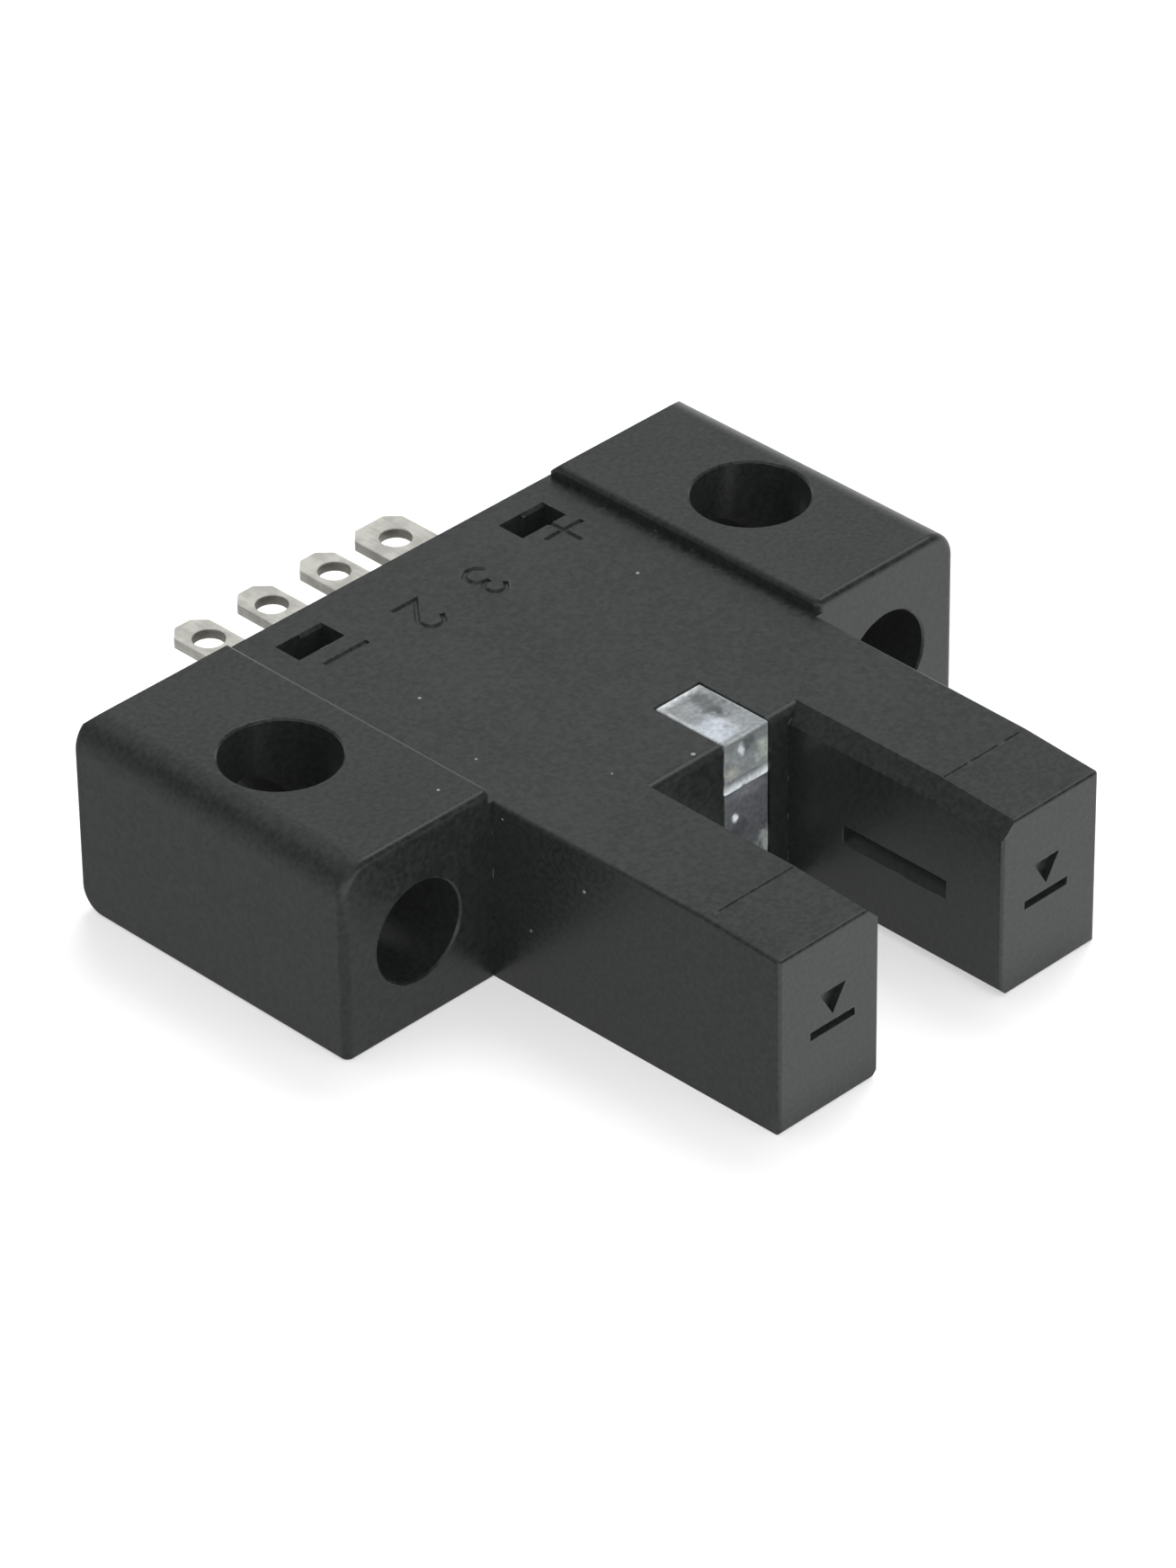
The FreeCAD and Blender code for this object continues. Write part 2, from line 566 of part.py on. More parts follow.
def make_optic(name, side):
    """A side-looking package whose lens faces the slit."""
    package = new_body(name)
    face = "(%d * %s)" % (side, OPTIC_FACE)
    pad(package, "YZ", face, [around(BEAM_Y, "beam_height", "optic_length", "optic_height")],
        "%s - %s" % (OPTIC_BACK, OPTIC_FACE), side)
    pad(package, "YZ", face, [(BEAM_Y, "beam_height", "lens_size")], "lens_height", -side)
    top = size("slot_width") / 2 + size("wall") + size("lens_space") - size("lens_height")
    rim = [name for name in rims(package, size("lens_size"))
           if abs(abs(package.Tip.Shape.getElement(name).BoundBox.Center.x) - top) < NEAR]
    soften(package, "Fillet", rim, "lens_round")
    return package


def make_optic_leads(name, side):
    """Two flat leads from a package's end, one on each face of the board."""
    leads = new_body(name)
    middle = "(%d * (%s + %s) / 2)" % (side, OPTIC_FACE, OPTIC_BACK)
    strip = around(middle, "(%s + lead_reach)" % OPTIC_END, "lead_width", "(2 * lead_reach)")
    pad(leads, "XY", BOARD_TOP, [strip], "lead_thickness")
    pad(leads, "XY", BOARD_LOW, [strip], "lead_thickness", -1)
    return leads


def make_chip(name, length, width, height, x, y, turn=0):
    """A small ceramic chip with a metal cap at each end."""
    chip = new_body(name)
    pad(chip, "XY", "0", [around("0", "0", length, width)], height)
    cap = "((%s - chip_cap) / 2)" % length
    for side in (cap, minus(cap)):
        pad(chip, "XY", "0", [around(side, "0", "(chip_cap + 2 * cap_lip)",
                                     "(%s + 2 * cap_lip)" % width)], "%s + cap_lip" % height)
    place(chip, x, y, BOARD_TOP, turn)
    return chip


def gull_wing(across, height):
    """The side view of one bent lead, from inside the body down to the board."""
    knee, foot = "(%s + foot_thickness)" % across, "(%s + foot_reach)" % across
    return [("(%s - foot_thickness)" % across, "(%s / 2)" % height),
            ("(%s)" % across, "(%s / 2)" % height), (across, "0"), (foot, "0"),
            (foot, "foot_thickness"), (knee, "foot_thickness"),
            (knee, "(%s / 2 + foot_thickness)" % height),
            ("(%s - foot_thickness)" % across, "(%s / 2 + foot_thickness)" % height)]


def mirrored(loop):
    return [(minus(x), y) for x, y in loop]


def make_amplifier():
    """The amplifier: a square body with four bent leads on each side."""
    chip = new_body("amplifier_ic")
    pad(chip, "XY", "foot_thickness", [around("0", "0", "amplifier_size", "amplifier_size")],
        "amplifier_height - foot_thickness")
    lead = gull_wing("(amplifier_size / 2)", "amplifier_height")
    base = chip.Tip
    row = pad(chip, "XZ", "-1.5 * amplifier_pitch - amplifier_lead / 2", [lead, mirrored(lead)],
              "amplifier_lead")
    pattern = chip.newObject("PartDesign::LinearPattern", "amplifier_leads")
    pattern.Originals = [row]
    axis = [item for item in chip.Origin.OriginFeatures if item.Role == "Y_Axis"][0]
    pattern.Direction = (axis, [""])
    pattern.setExpression("Length", bound("3 * amplifier_pitch"))
    pattern.Occurrences = 4
    chip.Tip = pattern
    doc.recompute()
    if not pattern.Shape.Volume > row.Shape.Volume > base.Shape.Volume:
        raise RuntimeError("the amplifier's leads are missing")
    place(chip, minus("amplifier_shift"), MIDDLE_ROW, BOARD_TOP)
    return chip


def make_transistor():
    """The output transistor: two leads at the front, one at the back."""
    chip = new_body("output_transistor")
    pad(chip, "XY", "foot_thickness", [around("0", "0", "transistor_length", "transistor_width")],
        "transistor_height - foot_thickness")
    lead = gull_wing("(transistor_width / 2)", "transistor_height")
    edge = "(transistor_length / 2 - transistor_lead)"
    for x in (edge, minus(edge)):
        pad(chip, "YZ", "%s - transistor_lead / 2" % x, [mirrored(lead)], "transistor_lead")
    pad(chip, "YZ", "-transistor_lead / 2", [lead], "transistor_lead")
    place(chip, "transistor_shift", MIDDLE_ROW, BOARD_TOP, 90)
    return chip


def make_diode():
    """The protection diode: one broad lead at each end."""
    chip = new_body("protection_diode")
    pad(chip, "XY", "foot_thickness", [around("0", "0", "diode_length", "diode_width")],
        "diode_height - foot_thickness")
    lead = gull_wing("(diode_length / 2)", "diode_height")
    pad(chip, "XZ", "-diode_lead / 2", [lead, mirrored(lead)], "diode_lead")
    place(chip, BOARD_SIDE + " - diode_inset", MIDDLE_ROW, BOARD_TOP, 90)
    return chip


def make_indicator():
    """The indicator: a small base with a clear block on it, under the light guide."""
    lamp = new_body("indicator_led")
    pad(lamp, "XY", "0", [around("0", "0", "chip_length", "chip_width")], "indicator_height / 2")
    pad(lamp, "XY", "indicator_height / 2",
        [around("0", "0", "(chip_length - 2 * chip_cap)", "chip_width")], "indicator_height / 2")
    place(lamp, "guide_shift", FRONT_ROW, BOARD_TOP)
    return lamp


pieces = [make_case(), make_light_guide(), make_base_cover(), make_terminal_holder(), make_board()]
pieces += [make_terminal(*row) for row in TERMINALS]
for side, optic, leads, window in ((-1, "emitter_led", "emitter_leads", "emitter_window"),
                                   (1, "receiver_chip", "receiver_leads", "receiver_window")):
    pieces += [make_optic(optic, side), make_optic_leads(leads, side), make_window(window, side)]
pieces += [make_indicator(), make_amplifier(), make_transistor(), make_diode()]
RESISTOR = ("chip_length", "chip_width", "chip_height")
pieces += [
    make_chip("resistor_led", *RESISTOR, minus(BOARD_SIDE + " - resistor_inset"),
              "%s + %s + resistor_offset" % (MIDDLE_ROW, CHIP_SIDE), 90),
    make_chip("resistor_pull_up", *RESISTOR, minus(BOARD_SIDE + " - resistor_inset"),
              "%s - %s - resistor_offset" % (MIDDLE_ROW, CHIP_SIDE), 90),
    make_chip("resistor_base", *RESISTOR, "guide_shift + chip_length / 2 + base_shift + " + CHIP_SIDE,
              FRONT_ROW),
    make_chip("supply_capacitor", "capacitor_length", "capacitor_width", "capacitor_height",
              minus("capacitor_shift"), FRONT_ROW)]

doc.recompute()
for item in doc.Objects:
    if "Invalid" in item.State or "Error" in item.State:
        raise RuntimeError("%s is in state %s" % (item.Name, item.State))
for piece in pieces:
    if piece.Shape.isNull() or not piece.Shape.isValid() or piece.Shape.Volume <= 0:
        raise RuntimeError("%s has no valid shape" % piece.Label)

os.makedirs("parts", exist_ok=True)
for piece in pieces:
    piece.Shape.exportStep("parts/%s.step" % piece.Label)
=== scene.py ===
"""Looks of a fork photoelectric sensor: its finishes, engraved marks and studio stage."""

import math

import bmesh
import bpy
from bpy.props import FloatProperty, FloatVectorProperty, PointerProperty
from bpy.types import NodeSocket, Operator, Panel, PropertyGroup
from mathutils import Matrix, Vector


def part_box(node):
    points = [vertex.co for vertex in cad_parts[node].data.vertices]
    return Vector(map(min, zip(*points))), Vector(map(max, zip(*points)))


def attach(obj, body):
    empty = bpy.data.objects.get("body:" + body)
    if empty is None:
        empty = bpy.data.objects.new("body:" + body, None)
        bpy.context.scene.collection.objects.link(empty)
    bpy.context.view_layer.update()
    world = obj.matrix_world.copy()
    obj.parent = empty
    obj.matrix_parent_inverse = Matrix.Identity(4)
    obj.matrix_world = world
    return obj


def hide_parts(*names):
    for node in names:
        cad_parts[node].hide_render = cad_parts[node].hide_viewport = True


bl_info = {
    "name": "Fork Sensor Looks",
    "version": (1, 0, 0),
    "blender": (4, 5, 0),
    "location": "3D View > Sidebar > Fork Sensor",
    "description": "Finishes, engraved marks and studio stage of a fork photoelectric sensor",
    "category": "Object",
}

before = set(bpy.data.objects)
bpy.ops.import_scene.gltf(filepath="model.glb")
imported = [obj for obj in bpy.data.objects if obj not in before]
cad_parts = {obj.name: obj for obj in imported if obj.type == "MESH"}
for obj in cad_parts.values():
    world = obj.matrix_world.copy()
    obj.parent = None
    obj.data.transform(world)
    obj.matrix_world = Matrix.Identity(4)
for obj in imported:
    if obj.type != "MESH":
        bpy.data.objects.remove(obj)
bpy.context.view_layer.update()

MM = 0.001
SURFACE_NORMAL = "surface_normal"
PHOTO_LONG_SIDE = 1744
SENSOR_WIDTH = 36.0

TIP_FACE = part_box("case")[0].y
TOP_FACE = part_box("light_guide")[1].z


def length(name, description, default):
    """A length of the part, in metres."""
    return FloatProperty(
        name=name, description=description, default=default, min=0.0,
        subtype="DISTANCE", unit="LENGTH", precision=5,
    )


def share(name, description, default):
    """A share from 0 to 1."""
    return FloatProperty(
        name=name, description=description, default=default, min=0.0, max=1.0, subtype="FACTOR"
    )


def colour(name, description, default):
    """A linear colour."""
    return FloatVectorProperty(
        name=name, description=description, default=default,
        size=3, min=0.0, max=1.0, subtype="COLOR",
    )


def angle(name, description, degrees):
    """An angle, shown in degrees."""
    return FloatProperty(
        name=name, description=description, default=math.radians(degrees),
        subtype="ANGLE", unit="ROTATION",
    )


def lamp_strength(name, description, default):
    """The strength of a lamp."""
    return FloatProperty(name=name, description=description, default=default, min=0.0)


class MouldingSettings(PropertyGroup):
    """Black moulded shell, its cover and the terminal holder."""

    tone: colour("Tone", "Colour of the black moulding compound", (0.0222, 0.0256, 0.0249))
    roughness: share("Roughness", "Roughness of the moulded skin", 0.33)
    grain: length("Grain", "Width of one grain of the moulded skin", 0.00016)
    grain_depth: length("Grain Depth", "Height of the grain", 0.0000045)
    dust: share("Dust", "Share of places that hold a dust speck", 0.16)
    # The veil is a painted glow: an even emission that lifts the black plastic's shade.
    veil: share("Veil", "Faint even light on the black plastic, as from the haze of a lens", 0.0037)
    nick_reach: length("Nick Reach", "How far edge nicks reach in from an edge", 0.00005)
    stroke: length("Stroke", "Width of an engraved stroke", 0.0002)
    engraving: length("Engraving", "Depth of the engraved marks", 0.00007)
    axis_bar: length("Axis Bar", "Length of the bar that marks the light beam on each tip", 0.0015)


class GuideSettings(PropertyGroup):
    """Clear light guide of the indicator."""

    upper_tone: colour("Upper Tone", "Resin's colour above the bright band", (0.43, 0.457, 0.47))
    lower_tone: colour("Lower Tone", "Resin's colour below the bright band", (0.3, 0.317, 0.337))
    # The bright band is painted light: a pale tone that also glows by emission.
    band_tone: colour("Band Tone", "Colour of the bright band", (0.86, 0.92, 0.94))
    # Painted glow: emission that makes the resin's bright places shine, though no lamp is inside.
    painted_glow: share("Painted Glow", "Daylight that the resin carries to its bright places", 0.6)
    clear_roughness: share("Clear Roughness", "Roughness of the polished faces", 0.12)
    frosted_roughness: share("Frosted Roughness", "Roughness of the frosted top", 0.38)
    edge: length("Edge", "Width of the broken edges", 0.00007)
    band_low: length("Band Low", "Lower side of the bright band over the floor", 0.00428)
    band_high: length("Band High", "Height over the floor at which the band has faded", 0.00470)


class MetalSettings(PropertyGroup):
    """Tin plated terminals and leads."""

    tone: colour("Tone", "Colour of the tin plating", (0.81, 0.8, 0.737))
    metallic: share("Metallic", "Share of bare metal in the dull plating", 0.35)
    roughness: share("Roughness", "Roughness of the plating", 0.42)
    edge: length("Edge", "Width of the rounded stamped edges", 0.00004)


class StageSettings(PropertyGroup):
    """Camera, floor and light."""

    aim: FloatVectorProperty(
        name="Aim", description="Point at the middle of the picture",
        default=(-0.0012988, -0.0039647, 0.0032694), size=3, subtype="TRANSLATION", unit="LENGTH",
    )
    azimuth: angle("Azimuth", "Camera's turn round the sensor", -44.612)
    elevation: angle("Elevation", "Camera's height over the horizon", 34.298)
    roll: angle("Roll", "Camera's turn about its own line of sight", -0.817)
    distance: length("Distance", "Camera's distance from the aim", 0.23175)
    focal_pixels: FloatProperty(
        name="Focal Length", description="Focal length in pixels of the picture's long side",
        default=9018.0,
    )
    floor_tone: colour("Floor", "Colour of the floor", (0.86, 0.86, 0.86))
    ambient: share("Ambient", "Strength of the light from all round", 0.42)
    key: lamp_strength("Key", "Strength of the main lamp", 1.4)
    fill: lamp_strength("Fill", "Strength of the low front lamp", 0.55)


class ForkSensorSettings(PropertyGroup):
    """All settings of the sensor's looks."""

    moulding: PointerProperty(type=MouldingSettings)
    guide: PointerProperty(type=GuideSettings)
    metal: PointerProperty(type=MetalSettings)
    stage: PointerProperty(type=StageSettings)


def add(tree, kind, inputs=None, **settings):
    """Adds a node with its settings, its inputs filled with values or linked to sockets."""
    made = tree.nodes.new(kind)
    for name, value in settings.items():
        setattr(made, name, value)
    for key, value in (inputs or {}).items():
        if isinstance(value, NodeSocket):
            tree.links.new(value, made.inputs[key])
        else:
            made.inputs[key].default_value = value
    return made


def calculate(tree, operation, first, second=0.0, third=0.0):
    """One Math node's result."""
    inputs = {0: first, 1: second, 2: third}
    return add(tree, "ShaderNodeMath", inputs, operation=operation).outputs[0]


def remap(tree, value, low, high, to_low, to_high):
    """The value carried smoothly from one range to another."""
    return add(
        tree, "ShaderNodeMapRange",
        {"Value": value, "From Min": low, "From Max": high, "To Min": to_low, "To Max": to_high},
        interpolation_type="SMOOTHSTEP",
    ).outputs["Result"]


def blend_colours(tree, factor, first, second):
    """Two colours mixed by a factor."""
    inputs = {0: factor, 6: first, 7: second}
    return add(tree, "ShaderNodeMix", inputs, data_type="RGBA").outputs[2]


def blend_values(tree, factor, first, second):
    """Two values mixed by a factor."""
    inputs = {0: factor, 2: first, 3: second}
    return add(tree, "ShaderNodeMix", inputs, data_type="FLOAT").outputs[0]


def opaque(tone):
    """A colour with full alpha."""
    return (*tone, 1.0)


def combine(tree, operation, first, second):
    """One Vector Math node's vector."""
    inputs = {0: first, 1: second}
    return add(tree, "ShaderNodeVectorMath", inputs, operation=operation).outputs[0]


def scaled(tree, vector, factor):
    """A vector or a colour times a factor."""
    inputs = {0: vector, "Scale": factor}
    return add(tree, "ShaderNodeVectorMath", inputs, operation="SCALE").outputs[0]


def dot(tree, first, second):
    """How far one vector reaches along another."""
    inputs = {0: first, 1: second}
    return add(tree, "ShaderNodeVectorMath", inputs, operation="DOT_PRODUCT").outputs["Value"]


def axes(tree, vector):
    """A vector's parts along X, Y and Z."""
    return add(tree, "ShaderNodeSeparateXYZ", {"Vector": vector}).outputs


def own_place(tree):
    """The place on the object, in its own coordinates."""
    return add(tree, "ShaderNodeTexCoord").outputs["Object"]


NOISE_MIDDLE = 0.5
FINE_DETAIL = 3.0
CLOUD_DETAIL = 4.0


def noise(tree, scale, detail, stretch=None):
    """Noise over the object's own coordinates, stretched along its axes where asked."""
    place = own_place(tree)
    if stretch:
        place = combine(tree, "MULTIPLY", place, stretch)
    inputs = {"Vector": place, "Scale": scale, "Detail": detail}
    return add(tree, "ShaderNodeTexNoise", inputs).outputs["Fac"]


def from_middle(tree, value):
    """How far a noise value lies over its middle."""
    return calculate(tree, "SUBTRACT", value, NOISE_MIDDLE)


def send(tree, node, sockets):
    """Links each socket to the node's input of the given name."""
    for name, socket in sockets.items():
        tree.links.new(socket, node.inputs[name])


def new_group(name, inputs, outputs):
    """An empty shader node group with its sockets, and its input and output nodes."""
    tree = bpy.data.node_groups.new(name, "ShaderNodeTree")
    kinds = {"colour": "NodeSocketColor", "value": "NodeSocketFloat", "vector": "NodeSocketVector"}
    for socket, (kind, default) in inputs.items():
        made = tree.interface.new_socket(socket, in_out="INPUT", socket_type=kinds[kind])
        made.default_value = default
    for socket, kind in outputs.items():
        tree.interface.new_socket(socket, in_out="OUTPUT", socket_type=kinds[kind])
    return tree, add(tree, "NodeGroupInput").outputs, add(tree, "NodeGroupOutput")


GRAIN_SHADES = (0.66, 1.4)
GRAIN_GLOSS = 0.22


def moulded_grain():
    """Fine skin of a moulded plastic: speckled tone, uneven gloss and a height for bump."""
    tree, given, out = new_group(
        "moulded_grain",
        {
            "Tone": ("colour", (0.02, 0.02, 0.02, 1.0)),
            "Roughness": ("value", 0.4),
            "Grain Scale": ("value", 9000.0),
            "Flow Scale": ("value", 260.0),
            "Speckle": ("value", 0.25),
        },
        {"Color": "colour", "Roughness": "value", "Height": "value"},
    )
    grain = noise(tree, given["Grain Scale"], FINE_DETAIL)
    flow = noise(tree, given["Flow Scale"], CLOUD_DETAIL)
    dark, light = [scaled(tree, given["Tone"], shade) for shade in GRAIN_SHADES]
    raised = from_middle(tree, grain)
    spread = calculate(tree, "MULTIPLY_ADD", raised, given["Speckle"], flow)
    gloss = calculate(tree, "ADD", raised, from_middle(tree, flow))
    send(tree, out, {
        "Color": blend_colours(tree, spread, dark, light),
        "Roughness": calculate(tree, "MULTIPLY_ADD", gloss, GRAIN_GLOSS, given["Roughness"]),
        "Height": grain,
    })
    return tree


SMALLEST_SPECK = 0.4
DUST_ROUGHNESS = 0.9


def dust_specks():
    """Sparse pale specks of dust over a surface."""
    tree, given, out = new_group(
        "dust_specks",
        {
            "Color": ("colour", (0.02, 0.02, 0.02, 1.0)),
            "Roughness": ("value", 0.4),
            "Dust": ("colour", (0.36, 0.37, 0.36, 1.0)),
            "Speck Scale": ("value", 900.0),
            "Speck Size": ("value", 0.05),
            "Share": ("value", 0.03),
        },
        {"Color": "colour", "Roughness": "value"},
    )
    inputs = {"Vector": own_place(tree), "Scale": given["Speck Scale"]}
    cells = add(tree, "ShaderNodeTexVoronoi", inputs).outputs
    chance = add(tree, "ShaderNodeSeparateColor", {"Color": cells["Color"]}).outputs
    chosen = calculate(tree, "LESS_THAN", chance["Red"], given["Share"])
    size = calculate(tree, "ADD", chance["Green"], SMALLEST_SPECK)
    reach = calculate(tree, "MULTIPLY", given["Speck Size"], size)
    inside = calculate(tree, "LESS_THAN", cells["Distance"], reach)
    mask = calculate(tree, "MULTIPLY", chosen, inside)
    send(tree, out, {
        "Color": blend_colours(tree, mask, given["Color"], given["Dust"]),
        "Roughness": blend_values(tree, mask, given["Roughness"], DUST_ROUGHNESS),
    })
    return tree


EDGE_TURN = (0.02, 0.16)
EDGE_SAMPLES = 6
NICK_NOISE = (0.59, 0.67)


def edge_nicks_and_highlights():
    """Small pale nicks along the edges, partly real nicks and partly painted highlights, and a
    faint polish.
    """
    tree, given, out = new_group(
        "edge_nicks_and_highlights",
        {
            "Color": ("colour", (0.02, 0.02, 0.02, 1.0)),
            "Roughness": ("value", 0.4),
            "Nick And Highlight": ("colour", (0.3, 0.3, 0.3, 1.0)),
            "Reach": ("value", 0.00006),
            "Nick Scale": ("value", 1500.0),
            "Polish": ("value", 0.05),
        },
        {"Color": "colour", "Roughness": "value"},
    )
    rounded = add(tree, "ShaderNodeBevel", {"Radius": given["Reach"]}, samples=EDGE_SAMPLES)
    flat = add(tree, "ShaderNodeNewGeometry").outputs["Normal"]
    turn = calculate(tree, "SUBTRACT", 1.0, dot(tree, rounded.outputs["Normal"], flat))
    edge = remap(tree, turn, *EDGE_TURN, 0.0, 1.0)
    broken = remap(tree, noise(tree, given["Nick Scale"], FINE_DETAIL), *NICK_NOISE, 0.0, 1.0)
    # The pale nicks also stand in for highlights along the edges: painted highlights.
    mask = calculate(tree, "MULTIPLY", edge, broken)
    polish = calculate(tree, "MULTIPLY", edge, given["Polish"])
    send(tree, out, {
        "Color": blend_colours(tree, mask, given["Color"], given["Nick And Highlight"]),
        "Roughness": calculate(tree, "SUBTRACT", given["Roughness"], polish),
    })
    return tree


ROLLING_STRETCH = (1.0, 0.05, 1.0)
LINES_SHARE = 0.3
DULL_TIN = 0.78
PLATING_NOISE = (0.38, 0.6)
PLATING_GLOSS = 0.5


def rolled_tin():
    """Tin plated strip: faint lines along the rolling direction and soft blotches of plating."""
    tree, given, out = new_group(
        "rolled_tin",
        {
            "Tone": ("colour", (0.7, 0.7, 0.66, 1.0)),
            "Roughness": ("value", 0.35),
            "Line Scale": ("value", 9000.0),
            "Blotch Scale": ("value", 1700.0),
        },
        {"Color": "colour", "Roughness": "value", "Height": "value"},
    )
    lines = noise(tree, given["Line Scale"], FINE_DETAIL, ROLLING_STRETCH)
    blotch = noise(tree, given["Blotch Scale"], CLOUD_DETAIL)
    blotches = calculate(tree, "MULTIPLY", blotch, 1.0 - LINES_SHARE)
    plating = calculate(tree, "MULTIPLY_ADD", lines, LINES_SHARE, blotches)
    dull = scaled(tree, given["Tone"], DULL_TIN)
    spread = remap(tree, plating, *PLATING_NOISE, 0.0, 1.0)
    uneven = from_middle(tree, plating)
    send(tree, out, {
        "Color": blend_colours(tree, spread, dull, given["Tone"]),
        "Roughness": calculate(tree, "MULTIPLY_ADD", uneven, PLATING_GLOSS, given["Roughness"]),
        "Height": plating,
    })
    return tree


SHADED_OPENNESS = (0.6, 0.98)
OPENNESS_SAMPLES = 8
UPRIGHT_RISE = (0.3, 0.7)


def cut_face_painted_shade():
    """Painted shade, tinted brown, on upright cut faces that little light reaches, as in small
    holes.
    """
    tree, given, out = new_group(
        "cut_face_painted_shade",
        {
            "Color": ("colour", (0.7, 0.7, 0.66, 1.0)),
            "Painted Shade": ("colour", (0.13, 0.115, 0.09, 1.0)),
            "Reach": ("value", 0.0012),
        },
        {"Color": "colour"},
    )
    around = add(
        tree, "ShaderNodeAmbientOcclusion", {"Distance": given["Reach"]}, samples=OPENNESS_SAMPLES
    )
    # Hollow, upright faces get a painted shade.
    hidden = remap(tree, around.outputs["AO"], *SHADED_OPENNESS, 1.0, 0.0)
    normal = add(tree, "ShaderNodeNewGeometry").outputs["Normal"]
    rise = calculate(tree, "ABSOLUTE", axes(tree, normal)["Z"])
    mask = calculate(tree, "MULTIPLY", hidden, remap(tree, rise, *UPRIGHT_RISE, 1.0, 0.0))
    send(tree, out, {"Color": blend_colours(tree, mask, given["Color"], given["Painted Shade"])})
    return tree


def plated_ends():
    """Mask of the two plated ends of a chip part, along the axis that is given."""
    tree, given, out = new_group(
        "plated_ends",
        {"Axis": ("vector", (1.0, 0.0, 0.0)), "Start": ("value", 0.6)},
        {"Mask": "value"},
    )
    along = dot(tree, add(tree, "ShaderNodeTexCoord").outputs["Generated"], given["Axis"])
    # 0 in the middle of the part and 1 at both of its ends.
    outward = calculate(tree, "ABSOLUTE", calculate(tree, "MULTIPLY_ADD", along, 2.0, -1.0))
    send(tree, out, {"Mask": calculate(tree, "GREATER_THAN", outward, given["Start"])})
    return tree


WEAVE_WANDER = 0.4
WEAVE_SHADE = 0.8


def glass_weave():
    """Crossed glass bundles under the mask of a printed board."""
    tree, given, out = new_group(
        "glass_weave",
        {"Tone": ("colour", (0.05, 0.2, 0.1, 1.0)), "Bundle Scale": ("value", 1600.0)},
        {"Color": "colour", "Height": "value"},
    )
    inputs = {
        "Vector": own_place(tree), "Scale": given["Bundle Scale"], "Distortion": WEAVE_WANDER,
    }
    warp, weft = [
        add(tree, "ShaderNodeTexWave", inputs, bands_direction=direction).outputs["Fac"]
        for direction in ("X", "Y")
    ]
    weave = calculate(tree, "MULTIPLY", warp, weft)
    dark = scaled(tree, given["Tone"], WEAVE_SHADE)
    send(tree, out, {"Color": blend_colours(tree, weave, dark, given["Tone"]), "Height": weave})
    return tree


# Painted glints, painted edge highlights and bright and dull places in the guide's resin: middle
# and reach in millimetres, colour, painted glow.
RESIN_CLOUDS_AND_GLINTS = (
    ((1.05, -6.5, 6.0), (0.6, 1.0, 0.3), (0.19, 0.2, 0.2), 0.0),
    ((1.05, -6.85, 6.0), (0.32, 0.36, 0.3), (0.12, 0.13, 0.13), 0.0),
    ((0.2, -7.45, 6.0), (0.85, 0.8, 0.3), (0.6, 0.64, 0.71), 0.35),
    ((0.15, -6.3, 6.0), (0.4, 0.7, 0.3), (0.34, 0.36, 0.36), 0.1),
    ((0.8, -5.48, 6.0), (1.3, 0.28, 0.3), (0.8, 0.84, 0.86), 0.3),
    ((-0.12, -6.7, 6.0), (0.18, 1.5, 0.3), (0.66, 0.7, 0.71), 0.25),
    ((1.74, -6.9, 6.0), (0.13, 1.6, 0.3), (0.6, 0.63, 0.64), 0.2),
    ((0.8, -8.25, 6.0), (1.2, 0.12, 0.12), (0.45, 0.5, 0.5), 0.2),
    ((0.85, -8.25, 5.7), (0.45, 0.3, 0.35), (0.22, 0.245, 0.245), 0.05),
    ((1.45, -8.25, 5.25), (0.42, 0.3, 0.65), (0.55, 0.61, 0.55), 0.35),
    ((0.2, -8.25, 4.95), (0.42, 0.3, 0.38), (0.5, 0.5, 0.44), 0.3),
    ((0.56, -8.25, 5.6), (0.17, 0.3, 0.28), (0.75, 0.8, 0.84), 0.5),
    ((0.85, -8.25, 4.05), (1.0, 0.3, 0.3), (0.36, 0.37, 0.4), 0.1),
    ((0.5, -8.25, 2.85), (0.4, 0.3, 0.45), (0.2, 0.215, 0.23), 0.0),
    ((0.35, -8.25, 3.32), (0.16, 0.3, 0.18), (0.9, 0.95, 1.0), 0.8),
    ((1.6, -8.25, 1.95), (0.5, 0.3, 0.6), (0.5, 0.54, 0.52), 0.4),
)


WISP_SCALE = 2600.0
WISP_DETAIL = 5.0
BAND_GLOW = 0.8
CLOUD_EDGE = (0.3, 1.1)
MOTTLE_SCALE = 7000.0
MOTTLE_NOISE = (0.3, 0.7)
MOTTLE_SHADES = (0.86, 1.14)


